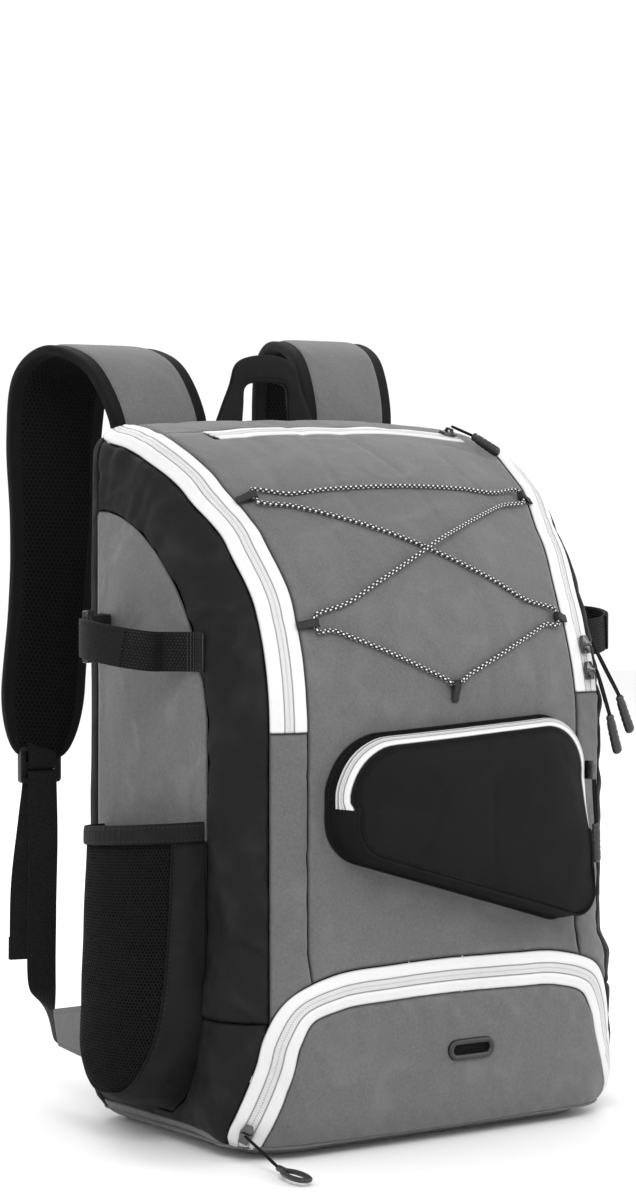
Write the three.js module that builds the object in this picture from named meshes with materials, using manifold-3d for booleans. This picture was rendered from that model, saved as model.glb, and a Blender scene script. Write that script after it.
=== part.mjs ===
// A backpack for ball sports that stands on its base: a hollow shell of sewn panels, a shoe
// compartment with its own zip, an offset front pocket, two side pockets with strap loops,
// padded shoulder straps and elastic lacing on the front.
// Millimetres, +Z up. The front faces -Y, +X is to the right seen from the front.
// The origin is the centre of the flat underside of the base.
import * as THREE from 'three';
import { mergeVertices } from 'three/addons/utils/BufferGeometryUtils.js';
import Module from 'manifold-3d';

const wasm = await Module();
wasm.setup();

// Shell
const bodyHalfWidth = 165;
const frontY = -120;
const backY = 100;
const ridgeZ = 498;
const shoulderZ = 290;
const shoulderPower = 1.87;
const frontCorner = 48;
const rearCorner = 26;
const topBackRound = 28;
const bottomRounding = 22;
const wall = 2.5;
const seamGap = 0.4;
const fabricSeat = 0.35;

// The corner's radius over the shoulder, from the front corner's (0) to the rear corner's (1)
const cornerRows = [
  { along: 0, towardsRear: 0 },
  { along: 0.28, towardsRear: -0.06 },
  { along: 0.45, towardsRear: 0.2 },
  { along: 0.62, towardsRear: 0.68 },
  { along: 0.8, towardsRear: 0.97 },
  { along: 1, towardsRear: 1 },
];

// How far the stuffed front stands out of the flat, along the profile from the floor to the ridge
const frontBulge = 14;
const bulgeRows = [
  { along: 0, out: 0.2 },
  { along: 0.34, out: 0.3 },
  { along: 0.7, out: 1 },
  { along: 1, out: 0.35 },
  { along: 1.1, out: 0 },
];

// Zips and seams of the shell
const tapeWidth = 28;
const tapeTurn = 40;
const tapeBehindRidge = 22;
const tapeEndLeft = 288;
const tapeEndRight = 307;
const bandDepth = 52;
const bandDepthTop = 62;
const topZipWidth = 14;
const topZipToRidge = 43;
const topZipLeft = -101;
const topZipRight = 117;
const topZipSlant = 6;

// Base, lower sides and shoe compartment
const baseRise = 9;
const lowerSeamZ = 94;
const lowerSeamBackZ = 22;
const lowerSeamTurnY = -23;
const shoeTapeWidth = 24;
const shoeTopZ = 116;
const shoePuff = 7;
const shoePuffTopZ = 140;
const ventX = 13;
const ventZ = 64;
const ventLength = 40;
const ventHeight = 15;
const ventRim = 4.5;
const ventDepth = 4;

// Padded back
const backPanelHalfWidth = 132;
const backPanelTopZ = 468;
const backPanelLowZ = 13;
const backPanelOut = 10;
const backPanelCorner = 22;

// Front pocket
const pocketDepth = 28;
const pocketZipWidth = 9;
const pocketZipThickness = 1.6;
const pocketSeat = 0.85;

// Side pockets
const sidePocketDepth = 44;
const sidePocketRimDepth = 36;
const sidePocketBackY = 60;
const sidePocketRimZ = 227;
const sidePocketRimDrop = 12;
const sidePocketHem = 14;
const sidePocketWall = 1.6;
const sidePocketFullness = 2.1;

// Strap loops on the sides
const loopStrapWidth = 27;
const loopStrapZ = 341;
const loopRise = 9;
const loopStrapThickness = 2;
const loopBowRadius = 30;
const loopBowStandOff = 29;
const loopBowY = -14;
const loopRingHeight = 36;
const loopRingLength = 15;
const loopRingBar = 4;

// Shoulder straps and their webbing
const strapThickness = 13;
const strapReach = 112;
const webbingWidth = 25;
const webbingThickness = 1.8;
const adjusterWidth = 35;
const adjusterHeight = 28;
const adjusterThickness = 5;
const adjusterBar = 4;
const tabThickness = 3;

// Haul loop
const haulWidth = 88;
const haulTopWidth = 46;
const haulHeight = 79;
const haulHoleWidth = 18;
const haulHoleHeight = 38;
const haulThickness = 4;

// Lacing
const cordDiameter = 3;
const cordTopZ = 442;
const cordMiddleZ = 357;
const cordLoopWidth = 6;
const cordLoopReach = 13;
const cordLoopThickness = 1;

// Zip sliders and pulls
const sliderLength = 13;
const sliderWidth = 9;
const sliderThickness = 3;
const pullDiameter = 7;
const pullCordDiameter = 2.4;

// Colours and materials
const greyFabric = new THREE.MeshStandardMaterial({ color: 0x6c6c6c, roughness: 0.85 });
const blackFabric = new THREE.MeshStandardMaterial({ color: 0x242424, roughness: 0.85 });
const whiteTape = new THREE.MeshStandardMaterial({ color: 0xe9e9e9, roughness: 0.7 });
const blackWebbing = new THREE.MeshStandardMaterial({ color: 0x1b1b1c, roughness: 0.75 });
const blackMesh = new THREE.MeshStandardMaterial({ color: 0x141414, roughness: 0.8 });
const blackPlastic = new THREE.MeshStandardMaterial({ color: 0x101010, roughness: 0.4 });
const blackMetal = new THREE.MeshStandardMaterial({ color: 0x2a2a2a, roughness: 0.35, metalness: 0.8 });

const backpack = new THREE.Group();
const quarter = Math.PI / 2;
const sides = [{ name: 'left', sign: -1 }, { name: 'right', sign: 1 }];
const mix = THREE.MathUtils.lerp;
const clamp01 = (x) => THREE.MathUtils.clamp(x, 0, 1);
const steps = (count) => Array.from({ length: count + 1 }, (_, i) => i / count);

function add(name, geometry, material) {
  const mesh = new THREE.Mesh(geometry, material);
  mesh.name = name;
  backpack.add(mesh);
}

// A table's column, eased between the rows on either side of a share of the way.
function between(rows, along, column) {
  const next = rows.findIndex((row) => row.along > along);
  if (next < 1) return rows[rows.length - 1][column];
  const [low, high] = [rows[next - 1], rows[next]];
  return mix(low[column], high[column], THREE.MathUtils.smoothstep(along, low.along, high.along));
}

// Geometry helpers

function signedVolume(points, faces) {
  let sum = 0;
  for (const [a, b, c] of faces) sum += points[a].dot(points[b].clone().cross(points[c]));
  return sum / 6;
}

function solidFrom(points, faces) {
  const outward = signedVolume(points, faces) > 0 ? faces : faces.map(([a, b, c]) => [a, c, b]);
  const geometry = new THREE.BufferGeometry();
  geometry.setAttribute('position', new THREE.Float32BufferAttribute(points.flatMap((p) => p.toArray()), 3));
  geometry.setIndex(outward.flat());
  return geometry;
}

// A closed wall between two grids of points with the same rows and columns.
function sheetSolid(outer, inner) {
  const rows = outer.length;
  const columns = outer[0].length;
  const points = [...outer.flat(), ...inner.flat()];
  const under = rows * columns;
  const at = (row, column) => row * columns + column;
  const faces = [];
  const quad = (a, b, c, d) => faces.push([a, b, c], [a, c, d]);
  for (let i = 0; i + 1 < rows; i += 1) {
    for (let j = 0; j + 1 < columns; j += 1) {
      const [a, b, c, d] = [at(i, j), at(i, j + 1), at(i + 1, j + 1), at(i + 1, j)];
      quad(a, b, c, d);
      quad(under + d, under + c, under + b, under + a);
    }
    const last = columns - 1;
    quad(at(i, 0), at(i + 1, 0), under + at(i + 1, 0), under + at(i, 0));
    quad(at(i + 1, last), at(i, last), under + at(i, last), under + at(i + 1, last));
  }
  for (let j = 0; j + 1 < columns; j += 1) {
    const last = rows - 1;
    quad(at(0, j + 1), at(0, j), under + at(0, j), under + at(0, j + 1));
    quad(at(last, j), at(last, j + 1), under + at(last, j + 1), under + at(last, j));
  }
  return solidFrom(points, faces);
}

// A closed solid through rings of equal point counts, capped by a fan, or joined end to end.
function ringLoft(rings, joined = false) {
  const count = rings[0].length;
  const points = rings.flat();
  const faces = [];
  const spans = joined ? rings.length : rings.length - 1;
  for (let i = 0; i < spans; i += 1) {
    const next = (i + 1) % rings.length;
    for (let j = 0; j < count; j += 1) {
      const k = (j + 1) % count;
      const [a, b, c, d] = [i * count + j, i * count + k, next * count + k, next * count + j];
      faces.push([a, b, c], [a, c, d]);
    }
  }
  if (!joined) {
    for (const [ring, flip] of [[0, true], [rings.length - 1, false]]) {
      const centre = new THREE.Vector3();
      for (const p of rings[ring]) centre.addScaledVector(p, 1 / count);
      points.push(centre);
      for (let j = 0; j < count; j += 1) {
        const edge = [ring * count + j, ring * count + ((j + 1) % count)];
        if (flip) edge.reverse();
        faces.push([edge[0], edge[1], points.length - 1]);
      }
    }
  }
  return solidFrom(points, faces);
}

function toManifold(geometry) {
  const bare = geometry.clone();
  for (const name of ['normal', 'uv']) bare.deleteAttribute(name);
  const merged = mergeVertices(bare, 1e-4);
  return new wasm.Manifold(new wasm.Mesh({
    numProp: 3,
    vertProperties: Float32Array.from(merged.attributes.position.array),
    triVerts: Uint32Array.from(merged.index.array),
  }));
}

function fromManifold(manifold) {
  const mesh = manifold.getMesh();
  const geometry = new THREE.BufferGeometry();
  geometry.setAttribute('position', new THREE.Float32BufferAttribute(mesh.vertProperties, 3));
  geometry.setIndex([...mesh.triVerts]);
  return geometry;
}

const joinSolids = (first, ...rest) => fromManifold(rest.reduce((sum, g) => sum.add(toManifold(g)), toManifold(first)));
const cutSolid = (solid, ...cutters) => fromManifold(
  cutters.reduce((sum, g) => sum.subtract(toManifold(g)), toManifold(solid)),
);

// A tube of round section along points, by ExtrudeGeometry.
function tube(points, diameter, stepCount, faceCount = 8) {
  const section = new THREE.Shape();
  section.absarc(0, 0, diameter / 2, 0, 2 * Math.PI);
  return new THREE.ExtrudeGeometry(section, {
    steps: stepCount,
    curveSegments: faceCount / 2,
    bevelEnabled: false,
    extrudePath: new THREE.CatmullRomCurve3(points),
  });
}

// A flat band along points. `wide` gives the direction of its width at each share of the way.
function band(points, { width, thickness, wide, stations = 16, round = false }) {
  const curve = new THREE.CatmullRomCurve3(points, false, 'centripetal');
  const outline = round ? roundedSection : flatSection;
  const rings = steps(stations).map((share) => {
    const centre = curve.getPointAt(share);
    const tangent = curve.getTangentAt(share);
    const across = wide(share).clone().addScaledVector(tangent, -wide(share).dot(tangent)).normalize();
    const out = new THREE.Vector3().crossVectors(across, tangent).normalize();
    return outline.map(([u, n]) => centre.clone()
      .addScaledVector(across, u * width(share) / 2)
      .addScaledVector(out, n * thickness(share) / 2));
  });
  return ringLoft(rings);
}

const flatSection = [[-1, -1], [1, -1], [1, 1], [-1, 1]];
const roundedSection = steps(10).slice(0, 10).map((share) => {
  const angle = share * 2 * Math.PI;
  const fold = (x) => Math.sign(x) * Math.abs(x) ** 0.5;
  return [fold(Math.cos(angle)), fold(Math.sin(angle))];
});

// The profile of the bag seen from the side, by its length from the floor up the front,
// over the top and down the back, with the direction of each rib into the bag.

const ridgeY = backY - topBackRound;
const shoulderSteps = 160;
const shoulderPoint = (share) => new THREE.Vector2(
  ridgeY - (ridgeY - frontY) * Math.cos(share * quarter) ** (2 / shoulderPower),
  shoulderZ + (ridgeZ - shoulderZ) * Math.sin(share * quarter) ** (2 / shoulderPower),
);
const shoulderCurve = steps(shoulderSteps).map(shoulderPoint);
const shoulderArc = [0];
for (let i = 1; i <= shoulderSteps; i += 1) {
  shoulderArc.push(shoulderArc[i - 1] + shoulderCurve[i].distanceTo(shoulderCurve[i - 1]));
}
const ridgeV = shoulderZ + shoulderArc[shoulderSteps];
const backTopV = ridgeV + topBackRound * quarter;
const backTopZ = ridgeZ - topBackRound;
const backV = (z) => backTopV + backTopZ - z;

function profile(v) {
  if (v <= shoulderZ) return { y: frontY, z: v, angle: 0, corner: frontCorner };
  if (v <= ridgeV) {
    const length = v - shoulderZ;
    let i = 1;
    while (i < shoulderSteps && shoulderArc[i] < length) i += 1;
    const inStep = clamp01((length - shoulderArc[i - 1]) / (shoulderArc[i] - shoulderArc[i - 1]));
    const point = shoulderCurve[i - 1].clone().lerp(shoulderCurve[i], inStep);
    const share = length / (ridgeV - shoulderZ);
    const corner = mix(frontCorner, rearCorner, between(cornerRows, share, 'towardsRear'));
    return { y: point.x, z: point.y, angle: share * quarter, corner };
  }
  if (v <= backTopV) {
    const turn = (v - ridgeV) / topBackRound;
    return {
      y: ridgeY + topBackRound * Math.sin(turn),
      z: backTopZ + topBackRound * Math.cos(turn),
      angle: quarter + turn,
      corner: rearCorner,
    };
  }
  return { y: backY, z: backTopZ + backTopV - v, angle: Math.PI, corner: rearCorner };
}

// The length along the profile at which the shoulder reaches a height.
const shoulderV = (z) => shoulderZ + shoulderArc[shoulderCurve.findIndex((point) => point.y >= z)];

const flatHalf = (v) => bodyHalfWidth - profile(v).corner;

const bulgeAt = (v) => frontBulge * between(bulgeRows, v / ridgeV, 'out');

const shoePuffSpread = 50;
const shoePuffFade = 24;
function shoePuffAt(v, past) {
  if (v >= shoePuffTopZ || v < 0) return 0;
  const height = clamp01((shoePuffTopZ - v) / shoePuffFade);
  const around = clamp01(1 - (past - 60) / shoePuffSpread);
  return shoePuff * height * around;
}

function bottomInset(z) {
  if (z >= bottomRounding) return 0;
  return bottomRounding * (1 - Math.sqrt(1 - (1 - Math.max(z, 0) / bottomRounding) ** 2));
}

// A point of the shell at length v along the profile and q across it from the middle,
// measured round the corners and on down the side, and lifted off the surface.
function skin(v, q, lift = 0) {
  const rib = profile(v);
  const side = q < 0 ? -1 : 1;
  const past = Math.abs(q) - (bodyHalfWidth - rib.corner);
  const turn = clamp01(past / (rib.corner * quarter)) * quarter;
  const x = past <= 0 ? Math.abs(q) : bodyHalfWidth - rib.corner * (1 - Math.sin(turn));
  const beyond = Math.max(0, past - rib.corner * quarter);
  const bulge = past <= 0 ? bulgeAt(v) * (1 - (x / (bodyHalfWidth - rib.corner)) ** 2) : 0;
  const out = lift + bulge + shoePuffAt(v, past) - bottomInset(rib.z);
  const depth = rib.corner * (1 - Math.cos(turn)) + beyond - out * Math.cos(turn);
  return new THREE.Vector3(
    side * (x + out * Math.sin(turn)),
    rib.y + depth * Math.cos(rib.angle),
    rib.z - depth * Math.sin(rib.angle),
  );
}

// A wall of the shell over a grid of { v, q } places.
function panel(grid, thickness = wall, lift = 0) {
  return sheetSolid(
    grid.map((row) => row.map(({ v, q }) => skin(v, q, lift))),
    grid.map((row) => row.map(({ v, q }) => skin(v, q, lift - thickness))),
  );
}

const sideY = (past, corner = frontCorner) => frontY + corner + past - corner * quarter;
const pastOfSideY = (y, corner = frontCorner) => y - frontY - corner + corner * quarter;
const halfGap = seamGap / 2;

// Main zip: up both front corners and across the top behind the ridge

const turnV = ridgeV + tapeBehindRidge - tapeTurn;
const turnInner = tapeTurn - tapeWidth / 2;
const turnOuter = tapeTurn + tapeWidth / 2;
const turnQ = flatHalf(turnV) - turnInner;
const ridgeTurn = Math.asin(clamp01((ridgeV - turnV) / turnOuter));
const turnAngles = [0, ridgeTurn / 2, ridgeTurn, ...steps(4).slice(1).map((s) => mix(ridgeTurn, quarter, s))];

// Rows that the tape and its neighbours share over the shoulder, so that their edges run together.
const legRows = 10;
const rowApart = 3;
const seamLevels = steps(legRows).slice(0, legRows).map((share) => mix(shoulderZ, turnV, share));
const levelsBetween = (low, high) => [low, ...seamLevels.filter((v) => v > low + rowApart && v < high - rowApart)];

function tapeSide(endV) {
  const leg = levelsBetween(endV, turnV).map((v) => (across) => ({ v, q: flatHalf(v) + across }));
  const turn = turnAngles.map((angle) => (across) => ({
    v: turnV + (turnInner + across) * Math.sin(angle),
    q: turnQ + (turnInner + across) * Math.cos(angle),
  }));
  return [...leg, ...turn];
}

const mirrored = (place) => (across) => ({ v: place(across).v, q: -place(across).q });
const tapeStations = [...tapeSide(tapeEndLeft).map(mirrored), ...tapeSide(tapeEndRight).reverse()];
const tapeColumns = steps(2).map((share) => mix(halfGap, tapeWidth - halfGap, share));
add('main_zipper', panel(tapeStations.map((place) => tapeColumns.map((across) => place(across)))), whiteTape);

// Shoe compartment zip: an arch that flares out to the bottom corners

const shoeArch = [
  { past: 47, up: 0 },
  { past: 36, up: 0.21 },
  { past: 25, up: 0.49 },
  { past: 20, up: 0.68 },
  { past: 8, up: 0.87 },
  { past: -22, up: 0.965 },
  { past: -65, up: 0.99 },
  { past: -120, up: 1 },
];
const shoeLowZ = baseRise + seamGap;
const shoeHalf = new THREE.CatmullRomCurve3(shoeArch.map(({ past, up }) => new THREE.Vector3(
  past <= -frontCorner * 2 ? 0 : flatHalf(0) + past,
  mix(shoeLowZ, shoeTopZ, up),
  0,
)), false, 'centripetal');
const shoeRows = 15;
const shoeCentre = steps(shoeRows).map((share) => ({
  point: shoeHalf.getPointAt(share),
  tangent: shoeHalf.getTangentAt(share),
}));

// The arch's edge at a distance outside (or inside) its centre line, from the right foot to the middle.
function shoeEdge(offset) {
  return shoeCentre.map(({ point, tangent }, i) => {
    if (i === 0) return { v: shoeLowZ, q: point.x + offset };
    if (i === shoeRows) return { v: point.y + offset, q: 0 };
    return { v: point.y + offset * -tangent.x, q: point.x + offset * tangent.y };
  });
}

function heightOnEdge(edge, q) {
  const distance = Math.abs(q);
  for (let i = 1; i < edge.length; i += 1) {
    const [outer, inner] = [edge[i - 1], edge[i]];
    if (distance >= inner.q) {
      return mix(outer.v, inner.v, clamp01((distance - outer.q) / (inner.q - outer.q)));
    }
  }
  return edge[edge.length - 1].v;
}

// Columns from one distance to another that fall on the corners of the edge between them.
function columnsOnEdge(edge, from, to) {
  const apart = 1.5;
  const inside = edge.map((place) => place.q).filter((q) => q > from + apart && q < to - apart);
  return [from, ...inside.sort((a, b) => a - b), to];
}

const shoeOutside = shoeEdge(shoeTapeWidth / 2 + halfGap);
const shoeInside = shoeEdge(-shoeTapeWidth / 2 - halfGap);
const shoeAcross = steps(2).map((share) => mix(-shoeTapeWidth / 2 + halfGap, shoeTapeWidth / 2 - halfGap, share));
const shoeGrids = shoeAcross.map((offset) => shoeEdge(offset));
const shoeHalfRows = shoeCentre.map((_, i) => shoeGrids.map((edge) => edge[i]));
const shoeLeftRows = shoeHalfRows.slice(0, shoeRows).map((row) => row.map(({ v, q }) => ({ v, q: -q })));
add('shoe_zipper', panel([...shoeLeftRows, ...shoeHalfRows.slice().reverse()]), whiteTape);

// The door inside the arch, with the hole of the vent

const doorFoot = shoeInside[0].q - 1.5;
const acrossMiddle = (half) => [...half.slice(1).reverse().map((q) => -q), ...half];
const doorColumns = acrossMiddle(columnsOnEdge(shoeInside, 0, doorFoot));
const doorGrid = steps(5).map((share) => doorColumns.map((q) => ({
  v: mix(shoeLowZ, heightOnEdge(shoeInside, q), share),
  q,
})));

function ovalPath(length, height, isHole) {
  const path = isHole ? new THREE.Path() : new THREE.Shape();
  const [r, reach] = [height / 2, (length - height) / 2];
  path.absarc(reach, 0, r, -quarter, quarter);
  path.absarc(-reach, 0, r, quarter, 3 * quarter);
  path.closePath();
  return path;
}

// Stands a shape drawn in X and Z up at a place, growing towards the front.
function standUp(shape, depth, x, y, z, curveSegments = 6) {
  const geometry = new THREE.ExtrudeGeometry(shape, { depth, bevelEnabled: false, curveSegments });
  geometry.rotateX(quarter);
  return geometry.translate(x, y, z);
}

const ventFaceY = skin(ventZ, ventX).y;
const ventClearance = 0.3;
const ventCutter = standUp(
  ovalPath(ventLength + 2 * ventClearance, ventHeight + 2 * ventClearance, false),
  8 * wall, ventX, ventFaceY + 4 * wall, ventZ, 4,
);
add('shoe_door', cutSolid(panel(doorGrid), ventCutter), greyFabric);

const ventShape = ovalPath(ventLength, ventHeight, false);
ventShape.holes.push(ovalPath(ventLength - 2 * ventRim, ventHeight - 2 * ventRim, true));
const ventProud = 1.5;
add('vent_ring', standUp(ventShape, ventDepth, ventX, ventFaceY - ventProud + ventDepth, ventZ, 4), blackPlastic);

// Front panel, with the slot of the top pocket's zip

const topZipHighV = ridgeV - topZipToRidge;
const topZipLowV = topZipHighV - topZipWidth;
const frontFoot = flatHalf(0) - halfGap;
const frontColumns = acrossMiddle(columnsOnEdge(shoeOutside, 0, frontFoot)).map((q) => q / frontFoot);
const frontTopV = topZipHighV - halfGap;
const frontLevels = [
  ...steps(4).slice(0, 4).map((share) => mix(shoePuffTopZ, shoulderZ, share)),
  ...levelsBetween(shoulderZ, frontTopV),
  frontTopV,
];
const frontGrid = [0, ...frontLevels].map((level) => frontColumns.map((u) => {
  const v = level || heightOnEdge(shoeOutside, u * frontFoot) + halfGap;
  return { v, q: u * (flatHalf(v) - seamGap) };
}));
const slotColumns = steps(12).map((share) => mix(topZipLeft - topZipSlant - seamGap, topZipRight + seamGap, share));
const slotGrid = [topZipLowV - seamGap, topZipHighV - wall, topZipHighV + seamGap].map((v) => (
  slotColumns.map((q) => ({ v, q }))
));
add('front_panel', cutSolid(panel(frontGrid), panel(slotGrid, 4 * wall, 2 * wall)), greyFabric);

const topZipGrid = steps(2).map((share) => steps(12).map((along) => ({
  v: mix(topZipLowV, topZipHighV - seamGap, share),
  q: mix(topZipLeft - topZipSlant * share, topZipRight, along),
})));
add('top_zip', panel(topZipGrid), whiteTape);

const topRows = [
  ...steps(2).map((share) => {
    const v = mix(topZipHighV + halfGap, turnV, share);
    return { v, half: flatHalf(v) - halfGap };
  }),
  ...turnAngles.slice(1).map((angle) => ({
    v: turnV + (turnInner - halfGap) * Math.sin(angle),
    half: turnQ + (turnInner - halfGap) * Math.cos(angle),
  })),
];
add('top_panel', panel(topRows.map(({ v, half }) => frontColumns.map((u) => ({ v, q: u * half })))), greyFabric);

// Strips of the shell beside and behind the main zip

const outerTurn = turnOuter + halfGap;
const outerRow = (angle) => ({
  v: turnV + outerTurn * Math.sin(angle),
  q: turnQ + outerTurn * Math.cos(angle),
});
const rearPoleGap = 1;
const rearPast = rearCorner * quarter + topBackRound - rearCorner - rearPoleGap;
const backPanelSlack = 0.7;

const seamDepth = (v) => mix(bandDepth, bandDepthTop, clamp01((v - shoulderZ) / (ridgeV - shoulderZ)));
const seamPast = (v) => seamDepth(v) - profile(v).corner * (1 - quarter);
const lowerSeam = new THREE.QuadraticBezierCurve(
  new THREE.Vector2(frontY + bandDepth, lowerSeamZ),
  new THREE.Vector2(frontY + bandDepth + 2, mix(lowerSeamZ, lowerSeamBackZ, 0.6)),
  new THREE.Vector2(lowerSeamTurnY, lowerSeamBackZ),
);
const lowerSeamSteps = 8;
const lowerSeamPoints = lowerSeam.getPoints(lowerSeamSteps);

// Height of the lower side's top edge at a length past the front corner.
function lowerTopAt(past) {
  const y = sideY(past);
  if (y <= lowerSeamPoints[0].x) return lowerSeamZ;
  const next = lowerSeamPoints.findIndex((point) => point.x > y);
  if (next < 1) return lowerSeamBackZ;
  const [a, b] = [lowerSeamPoints[next - 1], lowerSeamPoints[next]];
  return mix(a.y, b.y, (y - a.x) / (b.x - a.x));
}

for (const { name, sign } of sides) {
  const tapeEnd = sign < 0 ? tapeEndLeft : tapeEndRight;

  const gussetColumns = columnsOnEdge(shoeOutside, flatHalf(0) + halfGap, flatHalf(0) + tapeWidth - halfGap);
  const gussetGrid = steps(5).map((share) => gussetColumns.map((q) => {
    const v = mix(heightOnEdge(shoeOutside, q), tapeEnd - seamGap, share);
    return { v, q: sign * (q + flatHalf(v) - flatHalf(0)) };
  }));
  add(`gusset_strip_${name}`, panel(gussetGrid), greyFabric);

  const bandRows = [
    ...steps(3).slice(0, 3).map((share) => mix(lowerSeamZ + halfGap, shoulderZ, share)),
    ...levelsBetween(shoulderZ, turnV),
  ].map((v) => ({ v, edge: flatHalf(v) + tapeWidth + halfGap }));
  for (const angle of turnAngles.slice(0, 3)) {
    const row = outerRow(angle);
    bandRows.push({ v: Math.min(row.v, ridgeV - halfGap), edge: row.q });
  }
  const bandGrid = bandRows.map(({ v, edge }) => {
    const end = flatHalf(v) + seamPast(v) - halfGap;
    return steps(3).map((share) => ({ v, q: sign * mix(edge, end, share) }));
  });
  add(`side_band_${name}`, panel(bandGrid), blackFabric);

  const lowerStart = tapeWidth + 1.5;
  const lowerEnd = pastOfSideY(ridgeY - halfGap);
  const lowerPasts = [
    ...columnsOnEdge(shoeOutside, flatHalf(0) + lowerStart, shoeOutside[0].q).map((q) => q - flatHalf(0)),
    pastOfSideY((sideY(shoeOutside[0].q - flatHalf(0)) + lowerSeamPoints[0].x) / 2),
    ...lowerSeamPoints.slice(0, lowerSeamSteps).map((point) => pastOfSideY(point.x)),
    ...steps(2).map((share) => mix(pastOfSideY(lowerSeamTurnY), lowerEnd, share)),
  ];
  const lowerGrid = steps(3).map((share) => lowerPasts.map((past) => {
    const low = Math.max(heightOnEdge(shoeOutside, flatHalf(0) + past), shoeLowZ);
    const onTape = flatHalf(0) + past < shoeOutside[0].q;
    return { v: mix(onTape ? low : shoeLowZ, lowerTopAt(past) - halfGap, share), q: sign * (flatHalf(0) + past) };
  }));
  add(`lower_side_${name}`, panel(lowerGrid), blackFabric);

  // The flat side between the front seam and the back edge, row by row up to its tip
  const seamRows = [
    ...lowerSeamPoints.slice(1).reverse().map((point) => ({ y: point.x, z: point.y })),
    ...bandRows.filter(({ v }) => v < ridgeV - 2).map(({ v }) => {
      const rib = profile(v);
      const depth = seamDepth(v);
      return { y: rib.y + depth * Math.cos(rib.angle), z: rib.z - depth * Math.sin(rib.angle) };
    }),
  ];
  const flatGrid = (x) => seamRows.map(({ y, z }) => [y + seamGap, ridgeY - halfGap].map((place) => (
    new THREE.Vector3(sign * x, place, z))));
  add(`side_panel_${name}`, sheetSolid(flatGrid(bodyHalfWidth), flatGrid(bodyHalfWidth - wall)), greyFabric);

  const cornerZ = backPanelTopZ - backPanelCorner;
  const backRows = [
    ...turnAngles.slice(2).map((angle) => ({ ...outerRow(angle), first: true })),
    { v: backTopV, q: turnQ },
    ...steps(5).map((share) => {
      const turn = share * quarter;
      return {
        v: backV(cornerZ + (backPanelCorner + backPanelSlack) * Math.cos(turn)),
        q: backPanelHalfWidth - backPanelCorner + (backPanelCorner + backPanelSlack) * Math.sin(turn),
      };
    }),
    ...[0.5, 0.9, 0.96, 1].map((share) => ({
      v: backV(mix(cornerZ, shoeLowZ, share)),
      q: backPanelHalfWidth + backPanelSlack,
    })),
  ];
  const backGrid = backRows.map(({ v, q }) => steps(5).map((share) => ({
    v: Math.max(v, ridgeV + halfGap),
    q: sign * mix(q, flatHalf(v) + rearPast, share),
  })));
  add(`back_edge_${name}`, panel(backGrid), blackFabric);
}

const rearStripRows = [outerRow(quarter).v, backTopV, backV(backPanelTopZ + backPanelSlack)];
const rearStripHalf = Math.min(turnQ, backPanelHalfWidth - backPanelCorner) - seamGap;
add('rear_top_strip', panel(rearStripRows.map((v) => steps(8).map((share) => ({
  v,
  q: rearStripHalf * (share * 2 - 1),
})))), blackFabric);

// Base: a shallow tray under the shell

function floorRing(z, inset) {
  const [halfX, low, high] = [bodyHalfWidth - inset, frontY + inset, backY - inset];
  const front = frontCorner - inset;
  const rear = Math.max(rearCorner - inset, 1);
  const corners = [
    { x: halfX - front, y: low + front, r: front, from: -quarter },
    { x: halfX - rear, y: high - rear, r: rear, from: 0 },
    { x: -halfX + rear, y: high - rear, r: rear, from: quarter },
    { x: -halfX + front, y: low + front, r: front, from: 2 * quarter },
  ];
  return corners.flatMap(({ x, y, r, from }) => steps(4).map((share) => new THREE.Vector3(
    x + r * Math.cos(from + share * quarter),
    y + r * Math.sin(from + share * quarter),
    z,
  )));
}
const trayOuter = [0, 0.15, 0.5, 1].map((share) => floorRing(share * baseRise, bottomInset(share * baseRise)));
const trayInner = [wall, baseRise * 0.6, baseRise + wall].map((z) => (
  floorRing(z, Math.max(bottomInset(z), bottomInset(baseRise)) + wall)
));
add('base', cutSolid(ringLoft(trayOuter), ringLoft(trayInner)), greyFabric);

// Padded back panel

function roundedRect(halfWidth, low, high, radius) {
  const shape = new THREE.Shape();
  shape.absarc(halfWidth - radius, high - radius, radius, 0, quarter);
  shape.absarc(-halfWidth + radius, high - radius, radius, quarter, 2 * quarter);
  shape.absarc(-halfWidth + radius, low + radius, radius, 2 * quarter, 3 * quarter);
  shape.absarc(halfWidth - radius, low + radius, radius, 3 * quarter, 4 * quarter);
  shape.closePath();
  return shape;
}
const backPanelBevel = 4;
const backPanelThickness = backPanelOut + wall;
const backPanelShape = roundedRect(backPanelHalfWidth, backPanelLowZ, backPanelTopZ, backPanelCorner);
const backPanelGeometry = new THREE.ExtrudeGeometry(backPanelShape, {
  depth: backPanelThickness - backPanelBevel,
  curveSegments: 4,
  bevelThickness: backPanelBevel,
  bevelSize: backPanelBevel,
  bevelOffset: -backPanelBevel,
  bevelSegments: 2,
});
backPanelGeometry.rotateX(quarter);
const backPanelY = backY + backPanelOut;
backPanelGeometry.computeBoundingBox();
add('back_panel', trimmedBack(backPanelGeometry), blackMesh);

// Keeps the rounded edge on the outer face alone.
function trimmedBack(geometry) {
  geometry.translate(0, backPanelY - geometry.boundingBox.max.y, 0);
  const reach = 2 * ridgeZ;
  const cutter = new THREE.BoxGeometry(reach, backPanelBevel * 4, reach);
  cutter.translate(0, backY - wall - backPanelBevel * 2, backTopZ / 2);
  return cutSolid(geometry, cutter);
}

// Front pocket: four leaning edges with round corners, a bowl that opens to the panel behind it

const pocketCorners = [
  { x: -103, z: 284, radius: 42 },
  { x: -103, z: 212, radius: 30 },
  { x: 114, z: 144, radius: 22 },
  { x: 114, z: 297, radius: 38 },
];

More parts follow.
